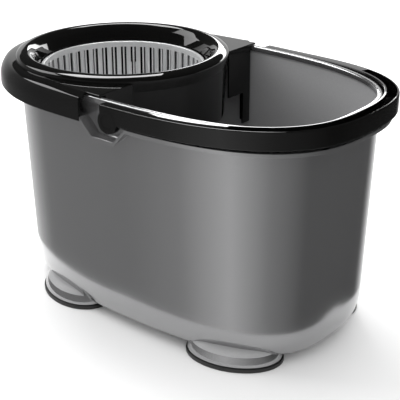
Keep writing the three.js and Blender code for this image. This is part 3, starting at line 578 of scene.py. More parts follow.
def plan_sweep_tree() -> Tree:
    """A tree that lays a grid round the rim's outline.

    Each point of the host holds the outline's angle in x, its outset in y and its height in z.

    Returns:
        The tree; its inputs are Grid, Middle, Basin reach, Wringer reach, Half width,
        Basin squareness, Wringer squareness and Material.
    """
    tree = Tree("plan_sweep")
    grid, middle = tree.size("Grid", "Geometry"), tree.size("Middle", "Float")
    basin, wringer = tree.size("Basin reach", "Float"), tree.size("Wringer reach", "Float")
    width = tree.size("Half width", "Float")
    basin_n = tree.size("Basin squareness", "Float")
    wringer_n = tree.size("Wringer squareness", "Float")
    material = tree.size("Material", "Material")
    held = tree.node("ShaderNodeSeparateXYZ", {0: tree.node("InputPosition").outputs[0]})
    turn, outset, height = held.outputs
    c, s = tree.math("COSINE", turn), tree.math("SINE", turn)
    at_basin = tree.math("GREATER_THAN", c, 0.0)
    reach = tree.pick(at_basin, wringer, basin)
    n = tree.pick(at_basin, wringer_n, basin_n)
    power, slope = tree.math("DIVIDE", 2.0, n), tree.math("SUBTRACT", n, 1.0)
    u, v = (tree.math("POWER", tree.math("ABSOLUTE", part), power) for part in (c, s))
    sign_c, sign_s = tree.math("SIGN", c), tree.math("SIGN", s)
    steep_u = tree.math("DIVIDE", tree.math("POWER", u, slope), reach)
    steep_v = tree.math("DIVIDE", tree.math("POWER", v, slope), width)
    along, across = tree.math("MULTIPLY", sign_c, steep_u), tree.math("MULTIPLY", sign_s, steep_v)
    squares = tree.math("MULTIPLY_ADD", along, along, tree.math("MULTIPLY", across, across))
    push = tree.math("DIVIDE", outset, tree.math("SQRT", squares))
    rim_x = tree.math("MULTIPLY", sign_c, tree.math("MULTIPLY", reach, u))
    rim_y = tree.math("MULTIPLY", sign_s, tree.math("MULTIPLY", width, v))
    x = tree.math("MULTIPLY_ADD", along, push, rim_x)
    y = tree.math("MULTIPLY_ADD", across, push, rim_y)
    spot = {0: tree.math("ADD", x, middle), 1: y, 2: height}
    place = tree.node("ShaderNodeCombineXYZ", spot).outputs[0]
    moved = tree.node("SetPosition", {"Geometry": grid, "Position": place})
    tree.end(moved.outputs[0], material)
    return tree


# ---- finishes --------------------------------------------------------------------------------
class Pattern(Enum):
    """How a finish varies over the surface."""

    FLECK = "fine metallic flecks"
    CLOUD = "soft clouding of a moulding"
    TURNED = "lathe rings round an upright axis"


@dataclass(frozen=True)
class Finish:
    """A moulded or turned surface."""

    name: str
    slot: str
    colour: tuple[float, float, float]
    second: tuple[float, float, float]
    pattern: Pattern
    scale: float
    roughness: tuple[float, float]
    metallic: float = 0.0
    coat: float = 0.0
    coat_roughness: float = 0.05
    specular: float = 0.5
    # Metallic share on faces marked as inner wall, set low so they render lighter: painted light.
    lining: float | None = None
    smear_scale: float = 6.0
    grain: float = 600.0
    grain_depth: float = 0.002

    def material(self) -> bpy.types.Material:
        """The finish as a material, made once.

        Returns:
            The material.
        """
        known = bpy.data.materials.get(self.name)
        if known:
            return known
        made = bpy.data.materials.new(self.name)
        made.use_nodes = True
        tree = made.node_tree
        place = add_node(tree, "ShaderNodeTexCoord").outputs["Object"]
        look = {
            "Base Color": self.tint(tree, place),
            "Metallic": self.metal(tree),
            "Roughness": self.gloss(tree, place),
            "Normal": self.surface(tree, place),
            "Coat Weight": self.coat,
            "Coat Roughness": self.coat_roughness,
            "Specular IOR Level": self.specular,
        }
        feed(tree, tree.nodes["Principled BSDF"], look)
        return made

    def metal(self, tree: bpy.types.NodeTree) -> float | bpy.types.NodeSocket:
        """The metallic share, which a piece with painted light on its inner wall changes where those
        faces are marked, so that they render lighter.

        Args:
            tree: The material's tree.

        Returns:
            A number, or a socket if the finish has faces marked for painted light.
        """
        if self.lining is None:
            return self.metallic
        inside = add_node(tree, "ShaderNodeAttribute", attribute_name=INNER_PAINTED_LIGHT).outputs["Fac"]
        levels = {"Value": inside, "To Min": self.metallic, "To Max": self.lining}
        return add_node(tree, "ShaderNodeMapRange", levels).outputs[0]

    def tint(self, tree: bpy.types.NodeTree, place: bpy.types.NodeSocket) -> bpy.types.NodeSocket:
        """The colour, which moves between its two tints with the pattern.

        Args:
            tree: The material's tree.
            place: The surface's Object coordinates.

        Returns:
            The colour's socket.
        """
        ends = {0: self.variation(tree, place), 6: (*self.colour, 1.0), 7: (*self.second, 1.0)}
        return add_node(tree, "ShaderNodeMix", ends, data_type="RGBA").outputs[2]

    def gloss(self, tree: bpy.types.NodeTree, place: bpy.types.NodeSocket) -> bpy.types.NodeSocket:
        """The roughness, uneven as on a handled moulding.

        Args:
            tree: The material's tree.
            place: The surface's Object coordinates.

        Returns:
            The roughness's socket.
        """
        smear = {"Scale": self.smear_scale, "Detail": 1.0, "Vector": place}
        low, high = self.roughness
        levels = {
            "Value": add_node(tree, "ShaderNodeTexNoise", smear).outputs[0],
            "From Min": 0.3,
            "From Max": 0.7,
            "To Min": low,
            "To Max": high,
        }
        return add_node(tree, "ShaderNodeMapRange", levels).outputs[0]

    def surface(self, tree: bpy.types.NodeTree, place: bpy.types.NodeSocket) -> bpy.types.NodeSocket:
        """The fine grain of the mould as a bump.

        Args:
            tree: The material's tree.
            place: The surface's Object coordinates.

        Returns:
            The normal's socket.
        """
        grain = add_node(tree, "ShaderNodeTexNoise", {"Scale": self.grain, "Vector": place})
        depth = self.grain_depth * MM
        relief = {"Strength": 0.25, "Distance": depth, "Height": grain.outputs[0]}
        return add_node(tree, "ShaderNodeBump", relief).outputs[0]

    def variation(self, tree: bpy.types.NodeTree, place: bpy.types.NodeSocket) -> bpy.types.NodeSocket:
        """The pattern as a number from 0 to 1.

        Args:
            tree: The material's tree.
            place: The surface's Object coordinates.

        Returns:
            The pattern's socket.
        """
        reads = {"Scale": self.scale, "Vector": place}
        if self.pattern is Pattern.TURNED:
            rings = {**reads, "Distortion": 1.5}
            return add_node(
                tree, "ShaderNodeTexWave", rings, wave_type="BANDS", bands_direction="Z"
            ).outputs[1]
        if self.pattern is Pattern.FLECK:
            cells = add_node(tree, "ShaderNodeTexVoronoi", reads).outputs["Color"]
            return add_node(tree, "ShaderNodeSeparateColor", {0: cells}).outputs[0]
        return add_node(tree, "ShaderNodeTexNoise", {**reads, "Detail": 4.0}).outputs[0]

    def dress(self, obj: bpy.types.Object) -> bpy.types.Object:
        """Gives an object this finish alone.

        Args:
            obj: The object.

        Returns:
            The same object.
        """
        obj.data.materials.clear()
        obj.data.materials.append(self.material())
        return obj


PEARL_GREY = Finish(
    name="pearl_grey",
    slot="bucket_grey",
    colour=(0.345, 0.345, 0.35),
    second=(0.375, 0.375, 0.38),
    pattern=Pattern.FLECK,
    scale=1400.0,
    roughness=(0.155, 0.175),
    metallic=0.85,
    coat=0.3,
    # inner faces lose the flake and render lighter: painted light on the inner wall
    lining=0.0,
)
GLOSS_BLACK = Finish(
    name="moulded_black",
    slot="gloss_black",
    colour=(0.002, 0.002, 0.002),
    second=(0.0035, 0.0035, 0.0033),
    pattern=Pattern.CLOUD,
    scale=25.0,
    roughness=(0.035, 0.05),
    specular=0.42,
)
SILVER_PLASTIC = Finish(
    name="silver_plastic",
    slot="basket_silver",
    colour=(0.68, 0.685, 0.69),
    second=(0.74, 0.745, 0.75),
    pattern=Pattern.FLECK,
    scale=1400.0,
    roughness=(0.18, 0.22),
    metallic=0.45,
    coat=0.3,
)
SOLE_RUBBER = Finish(
    name="moulded_rubber",
    slot="sole_rubber",
    colour=(0.008, 0.008, 0.008),
    second=(0.02, 0.02, 0.02),
    pattern=Pattern.CLOUD,
    scale=80.0,
    roughness=(0.4, 0.55),
    grain=900.0,
    grain_depth=0.05,
)
TURNED_STEEL = Finish(
    name="turned_steel",
    slot="steel",
    colour=(0.50, 0.50, 0.52),
    second=(0.66, 0.66, 0.67),
    pattern=Pattern.TURNED,
    scale=900.0,
    roughness=(0.2, 0.34),
    metallic=1.0,
)
ACETAL = Finish(
    name="acetal",
    slot="bush_plastic",
    colour=(0.72, 0.70, 0.64),
    second=(0.80, 0.78, 0.72),
    pattern=Pattern.CLOUD,
    scale=60.0,
    roughness=(0.35, 0.5),
)


# ---- lofts round the plan --------------------------------------------------------------------
@dataclass
class PlanLoft:
    """Makes bodies that follow the rim's outline."""

    plan: Plan
    tree: Tree = field(default_factory=plan_sweep_tree)

    def body(
        self,
        name: str,
        turns: np.ndarray,
        section: Callable[[float], Profile],
        finish: Finish,
        around: bool = False,
        ring: bool = True,
    ) -> bpy.types.Object:
        """A body whose section is laid along the outline.

        Args:
            name: The object's name.
            turns: The outline's parameter angles, one for each station.
            section: Gives the (outset, z) points at the outline's x from its middle.
            finish: Its finish.
            around: Whether the last station joins the first.
            ring: Whether the section closes on itself; if not, its ends are capped flat.

        Returns:
            The new object.
        """
        on_rim = self.plan.points(turns, 0.0)[:, 2]
        held = np.array(
            [[(t, u * MM, z * MM) for u, z in section(float(x))] for t, x in zip(turns, on_rim)]
        )
        if around and not ring:
            held = held.transpose(1, 0, 2)
        rows_join = around and ring
        rows, columns = held.shape[:2]
        faces = grid_faces(rows, columns, rows_join, True, not rows_join)
        data = bpy.data.meshes.new(name)
        data.from_pydata(held.reshape(-1, 3).tolist(), [], faces)
        values = {
            "Middle": self.plan.middle * MM,
            "Basin reach": self.plan.basin_reach * MM,
            "Wringer reach": self.plan.wringer_reach * MM,
            "Half width": self.plan.half_width * MM,
            "Basin squareness": self.plan.basin_squareness,
            "Wringer squareness": self.plan.wringer_squareness,
            "Material": finish.material(),
        }
        return finish_mesh(self.tree.baked(linked(name, data), values))


def cross_turned(
    name: str, profile: Profile, x: float, z: float, segments: int = 64
) -> bpy.types.Object:
    """A body turned round an axis along Y.

    Args:
        name: The object's name.
        profile: (radius, y) points that close on themselves.
        x: The axis's x.
        z: The axis's height.
        segments: Steps round the axis.

    Returns:
        The new object.
    """
    angles = np.linspace(0, TURN, segments, endpoint=False)
    ring = np.array(profile)
    xs = x + np.outer(np.cos(angles), ring[:, 0])
    zs = z + np.outer(np.sin(angles), ring[:, 0])
    ys = np.broadcast_to(ring[:, 1], xs.shape)
    return lofted(name, np.stack([xs, ys, zs], -1), True)


def shown(obj: bpy.types.Object, finish: Finish, body: str, *nodes: str) -> bpy.types.Object:
    """Dresses a finished piece and hands it to the frame.

    Args:
        obj: The piece.
        finish: Its finish.
        body: The CAD body that it rides on.
        *nodes: The CAD nodes that it stands for.

    Returns:
        The piece.
    """
    finish.dress(obj)
    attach(obj, body)
    if nodes:
        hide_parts(*nodes)
    LOG.info("%s: %d faces on %s", obj.name, len(obj.data.polygons), body)
    return obj


def carried(node: str, finish: Finish) -> None:
    """Gives a CAD node that stays in view its finish."""
    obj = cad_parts[node]
    obj.data.materials.clear()
    obj.data.materials.append(finish.material())
    LOG.info("%s: kept from the frame", node)


# ---- bucket ----------------------------------------------------------------------------------
@dataclass
class Bucket:
    """The grey shell with its rim bead, handle ledge, pockets and feet."""

    loft: PlanLoft
    wall: float = 2.4
    bead_width: float = 6.5
    bead_height: float = 6.0
    bead_round: float = 2.3
    inset_top: float = 2.5
    inset_foot: float = 10.8
    underside: float = 12.0
    floor_thick: float = 2.8
    toe_height: float = 34.0
    toe_depth: float = 6.5
    toe_edge: float = 4.5
    ledge_drop: float = 20.5
    ledge_thick: float = 2.0
    ledge_outset: float = 11.2
    ledge_covered: float = 8.8
    lip_thick: float = 1.8
    lip_height: float = 4.0
    pocket_drop: float = 16.5
    pocket: tuple[float, float, float, float] = (-18.0, -2.0, 28.0, 43.0)
    boss_radius: float = 9.0
    boss_out: float = 3.5
    boss_bore: float = 5.0
    boss_root: float = 1.0
    foot_tuck: tuple[Corner, ...] = (
        (1.5, 4.8, 0.8),
        (2.1, 9.8, 3.0),
        (4.7, 14.8, 3.0),
        (9.5, 19.3, 3.0),
        (16.5, 21.2, 0.0),
    )
    sole_round: float = 0.9
    sole_top: float = 4.5
    sole_middle: float = 6.0

    def __post_init__(self) -> None:
        """Reads the heights from the frame."""
        self.rim = Span.of("bucket_body").high[2]
        self.ledge_top = self.rim - self.ledge_drop

    def inset(self, z: float) -> float:
        """How far the outer wall stands inside the rim's outline at a height."""
        share = (self.ledge_top - z) / (self.ledge_top - self.underside)
        return self.inset_top + (self.inset_foot - self.inset_top) * max(0.0, share)

    def ledge_at(self, x: float) -> float:
        """The ledge's height at the outline's x, with the dip of the pocket."""
        start, flat_start, flat_end, end = self.pocket
        down = np.interp(x, [start, flat_start, flat_end, end], [0.0, 1.0, 1.0, 0.0])
        return self.ledge_top - self.pocket_drop * float(down)

    def toe(self, extra: float, lowest: float) -> list[Corner]:
        """The curve from the wall in to the floor.

        Args:
            extra: How far inside the outer wall it runs.
            lowest: The height where it ends.

        Returns:
            Corners from the lowest upwards.
        """
        foot = self.inset(lowest) + self.toe_depth + extra
        start = -(foot + 2.5 * self.toe_edge)
        corners: list[Corner] = [(start, lowest, 0.0), (-foot, lowest, self.toe_edge)]
        for share in np.linspace(0.25, 1, 7):
            z = lowest + self.toe_edge + (self.toe_height - self.toe_edge) * share
            depth = self.toe_depth * (1 - math.sqrt(1 - (1 - share) ** 2))
            corners.append((-(self.inset(z) + depth + extra), z, 0.0))
        return corners

    def section(self, x: float) -> Profile:
        """The shell's section at the outline's x, from the underside over the rim to the floor."""
        out = self.ledge_covered if x < self.pocket[0] else self.ledge_outset
        top = self.ledge_at(x)
        under, lip = top - self.ledge_thick, top - self.lip_height
        neck, rim = self.rim - self.bead_height - 1.9, self.rim
        inner = self.inset_top + self.wall
        corners = [
            *self.toe(0.0, self.underside),
            (-self.inset(under), under, 0.6),
            (out - self.lip_thick, under, 0.3),
            (out - self.lip_thick, lip, 0.4),
            (out, lip, 0.6),
            (out, top, 0.9),
            (-self.inset_top, top, 1.5),
            (-self.inset_top, neck, 1.0),
            (0.0, rim - self.bead_height, 0.8),
            (0.0, rim, self.bead_round),
            (-self.bead_width, rim, self.bead_round),
            (-self.bead_width, rim - self.bead_height, 0.8),
            (-inner, neck, 1.0),
            (-inner, self.ledge_top, 0.0),
            *reversed(self.toe(self.wall, self.underside + self.floor_thick)),
        ]
        return filleted(corners)

    def stations(self) -> np.ndarray:
        """Parameter angles round the outline, with a close pair at each corner of the pockets."""
        plan = self.loft.plan
        keys = [plan.turn_at(x + side) for x in self.pocket for side in (-0.03, 0.03)]
        keys += [TURN - key for key in keys]
        spread = plan.even_turns(0, TURN, 240)[:-1]
        free = [t for t in spread if min(abs(t - key) for key in keys) > 0.006]
        return np.array(sorted([*free, *keys]))

    def foot(self, node: str, levels: Sequence[Corner]) -> bpy.types.Object:
        """An oval body over one sole.

        Args:
            node: The sole's CAD node, which gives the place and the size.
            levels: (inset, z, radius) corners from the bottom upwards.

        Returns:
            The new object.
        """
        sole = Span.of(node)
        centre = np.array([sole.middle(0), sole.middle(1)])
        long, short, turn = self.oval_of(sole, centre)
        angles = np.linspace(0, TURN, 96, endpoint=False)
        rings = []
        for inset, z in filleted(levels, 5):
            along, across = (long - inset) * np.cos(angles), (short - inset) * np.sin(angles)
            x = centre[0] + along * math.cos(turn) - across * math.sin(turn)
            y = centre[1] + along * math.sin(turn) + across * math.cos(turn)
            rings.append(np.stack([x, y, np.full_like(x, z)], -1))
        return lofted(node, np.array(rings), False)

    @staticmethod
    def oval_of(sole: Span, centre: np.ndarray, degrees: float = 20.0) -> tuple[float, float, float]:
        """The half axes and turn of an oval that fills a box.

        Args:
            sole: The oval's box.
            centre: Its centre.
            degrees: How far its long axis is turned from X.

        Returns:
            Half the length, half the width and the turn in radians.
        """
        turn = math.radians(degrees) * math.copysign(1, centre[0]) * -math.copysign(1, centre[1])
        c2, s2 = math.cos(turn) ** 2, math.sin(turn) ** 2
        wide, deep = (sole.size(0) / 2) ** 2, (sole.size(1) / 2) ** 2
        long2 = (wide * c2 - deep * s2) / (c2**2 - s2**2)
        short2 = (deep * c2 - wide * s2) / (c2**2 - s2**2)
        return math.sqrt(long2), math.sqrt(short2), turn

    def line(self, shell: bpy.types.Object) -> None:
        """Marks the shell's inner faces, which get no metallic flake so that they render lighter:
        painted light on the inner wall.

        Args:
            shell: The finished shell.
        """
        plan, data = self.loft.plan, shell.data
        count = len(data.polygons)
        centres, normals = np.zeros(3 * count), np.zeros(3 * count)
        data.polygons.foreach_get("center", centres)
        data.polygons.foreach_get("normal", normals)
        centres, normals = centres.reshape(-1, 3) / MM, normals.reshape(-1, 3)
        centres[:, 0] -= plan.middle
        facing_in = (centres * normals)[:, :2].sum(1) < 0
        floor = (normals[:, 2] > 0.5) & (centres[:, 2] < self.toe_height)
        low = centres[:, 2] < self.rim - self.bead_height
        above = centres[:, 2] > self.underside + self.floor_thick - 0.1
        near_lip = np.abs(centres[:, 1]) > plan.half_width
        # faces that get painted light: made non-metallic so they render lighter
        inside = (facing_in | floor) & low & above & ~near_lip
        mark = data.attributes.new(INNER_PAINTED_LIGHT, "FLOAT", "FACE")
        mark.data.foreach_set("value", inside.astype(np.float32))

    def build(self) -> None:
        """Makes the shell and its four soles."""
        shell = self.loft.body(
            "bucket_shell", self.stations(), self.section, PEARL_GREY, around=True, ring=False
        )
        ends = ("front_right", "rear_right", "front_left", "rear_left")
        soles = [f"foot_sole_{end}" for end in ends]
        extra = [self.foot(node, self.foot_tuck) for node in soles]
        pin, half_width = Span.of("pivot_pin_front"), self.loft.plan.half_width
        for side in (-1, 1):
            root = side * (half_width - self.inset_top - self.boss_root)
            face = side * (half_width + self.boss_out)
            boss = [
                (self.boss_bore, root, 0.0),
                (self.boss_radius, root, 0.0),
                (self.boss_radius, face, 0.6),
                (self.boss_bore, face, 0.0),
            ]
            extra.append(cross_turned("boss", filleted(boss), pin.middle(0), pin.middle(2)))
        combined(shell, extra, Join.ADD)
        # marks the inner faces that get painted light
        self.line(shell)
        shown(shell, PEARL_GREY, "bucket", "bucket_body")
        for node in soles:
            top = Span.of(node).low[2] + self.sole_top
            levels = [
                (self.sole_middle, 0.0, 0.0),
                (0.0, 0.0, self.sole_round),
                (0.0, top, self.sole_round),
                (self.sole_middle, top, 0.0),
            ]
            shown(self.foot(node, levels), SOLE_RUBBER, "bucket", node)
        for node in ("pivot_pin_front", "pivot_pin_rear"):
            carried(node, GLOSS_BLACK)


# ---- handle ----------------------------------------------------------------------------------
@dataclass
class Handle:
    """The black bail with its hubs, hollow arms and finger trough."""

    loft: PlanLoft
    bucket: Bucket
    clear: float = 1.0
    outset_side: float = 12.0
    outset_grip: float = 16.6
    rise: float = 3.5
    height: float = 19.0
    wall: float = 2.3
    heel_x: float = 12.0
    heel_to_pivot: float = 9.0
    trough_x: float = 152.0
    undercut: tuple[float, float] = (36.0, 140.0)
    hub_radius: float = 12.5
    hub_from: float = 3.8
    hub_thick: float = 8.3
    pin_head: float = 7.3
    pin_bore: float = 4.3
    head_depth: float = 2.3
    overcut: float = 2.0

    def levels(self, x: float) -> tuple[float, float, float, float]:
        """Inner and outer outset, bottom and top at the outline's x."""
        reach = self.loft.plan.basin_reach
        pivot = self.heel_x + self.heel_to_pivot

        def ease(start: float) -> float:
            """0 up to the start, 1 at the basin's end and smooth between."""
            return eased(min(1.0, max(0.0, (x - start) / (reach - start))))

        lift = self.rise * ease(2 * pivot)
        outer = self.outset_side + (self.outset_grip - self.outset_side) * ease(pivot)
        bottom = self.bucket.ledge_top + self.clear + lift
        return self.clear, outer, bottom, bottom + self.height

    def bow(self, x: float) -> Profile:
        """The solid bow's section."""
        inner, outer, bottom, top = self.levels(x)
        edges = [(inner, bottom, 0.6), (outer, bottom, 1.6), (outer, top, 1.9), (inner, top, 0.7)]
        return filleted(edges, 5)

    def between_walls(self, x: float, low: float, high: float) -> Profile:
        """A square section between the bow's two walls at the outline's x."""
        inner, outer, _, _ = self.levels(x)
        near, far = inner + self.wall, outer - self.wall
        return [(near, low), (far, low), (far, high), (near, high)]

    def trough(self, x: float) -> Profile:
        """The trough's section in the grip."""
        _, _, bottom, top = self.levels(x)
        return self.between_walls(x, bottom + self.wall, top + self.overcut)

    def hollow(self, x: float) -> Profile:
        """The undercut's section under an arm."""
        _, _, bottom, top = self.levels(x)
        return self.between_walls(x, bottom - self.overcut, top - self.wall)

    def build(self) -> None:
        """Makes the handle as one piece."""
        plan = self.loft.plan
        heel = plan.turn_at(self.heel_x)
        whole = plan.even_turns(-heel, heel, 180)
        bow = self.loft.body("bail_handle", whole, self.bow, GLOSS_BLACK)
        end = plan.turn_at(self.trough_x)
        grip = plan.even_turns(-end, end, 90)
        cutters = [self.loft.body("trough", grip, self.trough, GLOSS_BLACK)]
        for side in (-1, 1):
            start, stop = (side * plan.turn_at(x) for x in self.undercut)
            arm = plan.even_turns(start, stop, 40)
            cutters.append(self.loft.body("hollow", arm, self.hollow, GLOSS_BLACK))
        pin = Span.of("pivot_pin_front")
        x, z = pin.middle(0), pin.middle(2)
        hubs = []
        for side in (-1, 1):
            near = plan.half_width + self.hub_from
            far = plan.half_width + self.hub_from + self.hub_thick
            disc = [
                (0.0, side * near, 0.0),
                (self.hub_radius, side * near, 0.5),
                (self.hub_radius, side * far, 1.6),
                (0.0, side * far, 0.0),
            ]
            hubs.append(cross_turned("hub", filleted(disc), x, z, 96))
            for radius, low, high in (
                (self.bucket.boss_radius + self.clear, near - 2 * self.overcut, near),
                (self.pin_bore, near - 2 * self.overcut, far + self.overcut),
                (self.pin_head, far - self.head_depth, far + self.overcut),
            ):
                start, stop = side * low, side * high
                bore = [(0.0, start), (radius, start), (radius, stop), (0.0, stop)]
                cutters.append(cross_turned("bore", bore, x, z, 96))
        combined(bow, hubs, Join.ADD)
        combined(bow, cutters, Join.CUT)
        shown(bow, GLOSS_BLACK, "handle", "handle")


@dataclass
class RingArray:
    """Sets copies of a body round the wringer's axis."""

    axis: tuple[float, float]
    tree: Tree = field(default_factory=ring_array_tree)

    def of(
        self, name: str, item: bpy.types.Object, count: int, start: float, finish: Finish
    ) -> bpy.types.Object:
        """Copies of a body as one mesh.

        Args:
            name: The new object's name.
            item: The body, made at the origin and pointing along +X; it is used up.
            count: How many copies.
            start: The first copy's angle.
            finish: The copies' finish.

        Returns:
            The new object.
        """
        values = {
            "Item": item,
            "Count": count,
            "Start": start,
            "Axis": Vector((self.axis[0] * MM, self.axis[1] * MM, 0.0)),
            "Material": finish.material(),
        }
        host = self.tree.baked(linked(name, bpy.data.meshes.new(name)), values)
        bpy.data.objects.remove(item)
        return host


# ---- wringer ---------------------------------------------------------------------------------
@dataclass(frozen=True)
class PanScrew:
    """A pan-head screw with a cross recess, head down."""

    shank: float = 1.5
    head_thick: float = 2.2
    head_round: float = 1.2
    point: float = 1.0
    recess_reach: float = 2.4
    recess_half: float = 0.45
    recess_depth: float = 0.9

    def body(self, head: float, low: float, high: float) -> bpy.types.Object:
        """The screw on the origin's axis.

        Args:
            head: The head's radius.
            low: The head's lowest height.
            high: The point's height.

        Returns:
            The new object.
        """
        neck = low + self.head_thick
        outline = [
            (0.0, low, 0.0),
            (head, low, self.head_round),
            (head, neck, 0.1),
            (self.shank, neck, 0.0),
            (self.shank, high - self.point, 0.1),
            (0.0, high, 0.0),
        ]
        item = turned("screw", filleted(outline), (0.0, 0.0), 32)
        reach, half, top = self.recess_reach, self.recess_half, low + self.recess_depth
        arms = ((reach, half), (half, reach))
        cross = [block("recess", (-x, -y, low - 1), (x, y, top)) for x, y in arms]
        return combined(item, cross, Join.CUT)


@dataclass
class Wringer:
    """The black cover and drum, with the steel that holds them."""

    loft: PlanLoft
    crest_edge: tuple[float, float] = (99.7, 269.4)
    crown_radius: float = 107.3
    crown_rise: float = 1.5
    drip_arc: tuple[float, float] = (58.0, 72.0)
    drip_depth: float = 7.4
    drip_inset: float = 2.2
    throat: float = 94.0
    throat_foot: float = 258.6
    outer: float = 120.0
    cover_wall: float = 2.4
    plate_under: float = 266.7
    plate_top: float = 268.9
    crease: float = -0.6
    skirt_outset: float = 12.0
    skirt_outset_end: float = 20.0
    skirt_flare: float = 110.0
    skirt_bottom: float = 241.0
    skirt_start: float = -18.0
    cheek_bottom: float = 213.0
    leg_bottom: float = 175.0
    leg_width: float = 13.0
    drum_radius: float = 116.2
    drum_top: float = 263.5
    step: float = 196.0
    step_round: float = 7.0
    bowl: tuple[float, float, float] = (99.0, 97.0, 150.0)
    pedestal: tuple[float, float] = (13.0, 162.0)
    insert_inset: float = 9.0
    plate_bite: float = 1.2
    mouth_cut: tuple[float, float] = (255.0, 280.0)
    tuck: float = 6.5
    domed_to: float = -75.0
    cheek_inner: float = 80.2
    spindle_hole: float = 5.3
    drains: int = 8
    drain_reach: tuple[float, float] = (34.0, 76.0)
    drain_half: float = 3.0

    def __post_init__(self) -> None:
        """Reads the wringer's axis and heights from the frame."""
        drum, cover = Span.of("wringer_drum"), Span.of("wringer_cover")
        self.axis = (Span.of("spindle").middle(0), Span.of("spindle").middle(1))
        self.crest = cover.high[2]
        self.bowl_bottom = drum.low[2]

    def ring(self) -> bpy.types.Object:
        """The rounded ring round the basket's mouth, with a drip edge over the basin."""
        angles = np.linspace(0, TURN, ROUND_STEPS, endpoint=False)
        away = np.degrees(np.abs((angles + math.pi) % TURN - math.pi))
        drop = np.interp(away, self.drip_arc, [1.0, 0.0])
        rings = []
        for angle, share in zip(angles, drop):
            low = self.plate_under - 0.3 - self.drip_depth * share
            edge = self.outer - self.drip_inset * share
            profile = filleted(
                [
                    (self.throat, self.throat_foot, 0.5),
                    (*self.crest_edge, 1.2),
                    (self.crown_radius, self.crest + self.crown_rise, 8.0),
                    (self.outer, self.crest - 2.6, 7.0),
                    (self.outer - 0.2, self.plate_under + 1, 1.0),
                    (edge, low, 0.6),
                    (edge - self.cover_wall, low, 0.3),
                    (self.outer - self.cover_wall - 1.2, self.crest - 7, 2.0),
                    (self.outer - 7, self.crest - 3.9, 2.0),
                    (self.throat + 12, self.crest - 3.8, 2.0),
                    (self.throat + 7.5, self.crest - 7.8, 1.0),
                    (self.throat + 2.4, self.throat_foot, 0.4),
                ]
            )
            rings.append(spoke(self.axis, angle, profile))
        return lofted("wringer_cover_moulding", np.array(rings), True)

    def plate(self) -> bpy.types.Object:
        """The flat plate between the ring and the crease."""
        plan = self.loft.plan
        start = plan.turn_at(-0.01)
        xy = plan.points(plan.even_turns(start, TURN - start, 160), self.crease)[:, :2]
        levels = []
        low, top, bevel = self.plate_under, self.plate_top, 0.4
        for inset, z in ((0.0, low), (0.0, top - bevel), (bevel, top)):
            level = xy.copy()
            level[:, 1] *= 1 - inset / plan.half_width
            level[:, 0] = np.minimum(level[:, 0], plan.middle - inset)
            levels.append(np.column_stack([level, np.full(len(level), z)]))
        sheet = lofted("plate", np.array(levels), False)
        (start, stop), radius = self.mouth_cut, self.outer - self.plate_bite
        mouth = [(0.0, start), (radius, start), (radius, stop), (0.0, stop)]
        return combined(sheet, [turned("mouth", mouth, self.axis, ROUND_STEPS)], Join.CUT)

    def skirt_section(self, x: float) -> Profile:
        """The skirt's section at the outline's x: boxy at its ends, domed round the far end."""
        box = eased(float(np.interp(x, [self.domed_to, self.skirt_start], [0.0, 1.0])))
        flare = eased(min(1.0, max(0.0, self.skirt_start - x) / self.skirt_flare))
        out = self.skirt_outset + (self.skirt_outset_end - self.skirt_outset) * flare
        wall = self.cover_wall
        shoulder = (0.63 * out + 3.6 * box, 266.5 - 0.6 * box)
        waist = (out - 0.6 + 0.4 * box, 256.0 + 2 * box)
        return filleted(
            [
                (-self.tuck, self.plate_under, 0.0),
                (1.0, self.plate_under, 0.5),
                (shoulder[0] - 3.0, shoulder[1] - 3.2, 2.0),
                (waist[0] - wall, waist[1] - 2, 3.0),
                (out - wall, self.skirt_bottom, 0.3),
                (out, self.skirt_bottom, 0.6),
                (*waist, 6.0 - 3 * box),
                (*shoulder, 5.0 - 3.4 * box),
                (self.crease, self.plate_top, 0.5),
                (-self.tuck, self.plate_top - 0.2, 0.0),
            ]
        )

    def skirt(self) -> bpy.types.Object:
        """The skirt that hooks over the rim and the ledge."""
        plan = self.loft.plan
        start = plan.turn_at(self.skirt_start)
        turns = plan.even_turns(start, TURN - start, 180)
        return self.loft.body("skirt", turns, self.skirt_section, GLOSS_BLACK)

    def cheeks(self) -> list[bpy.types.Object]:
        """The upright plates under the front edge, each with a leg and a return rib."""
        made = []
        edge, wall, width = self.loft.plan.middle, self.cover_wall, self.leg_width
        far = self.loft.plan.half_width - self.insert_inset - 1.0
        foot, top = self.leg_bottom, self.plate_under + self.plate_bite
        spans = {
            "cheek": (edge - wall, self.cheek_inner, self.cheek_bottom, top),
            "leg": (edge - wall, far - width, foot, self.cheek_bottom + 2),
            "rib": (edge - width, far - wall, foot, top),
        }
        for side in (-1, 1):
            for name, (x, y, low, high) in spans.items():
                near_y, far_y = sorted((side * y, side * far))
                made.append(block(name, (x, near_y, low), (edge, far_y, high), 0.4))
        return made

    def envelope(self, angles: np.ndarray, inset: float) -> np.ndarray:
        """How far the inset rim outline is from the wringer's axis in each direction."""
        turns = np.linspace(0, TURN, 4000, endpoint=False)
        xy = self.loft.plan.points(turns, -inset)[:, :2] - np.array(self.axis)
        seen, away = np.arctan2(xy[:, 1], xy[:, 0]), np.hypot(*xy.T)
        order = np.argsort(seen)
        wanted = (angles + math.pi) % TURN - math.pi
        return np.interp(wanted, seen[order], away[order], period=TURN)

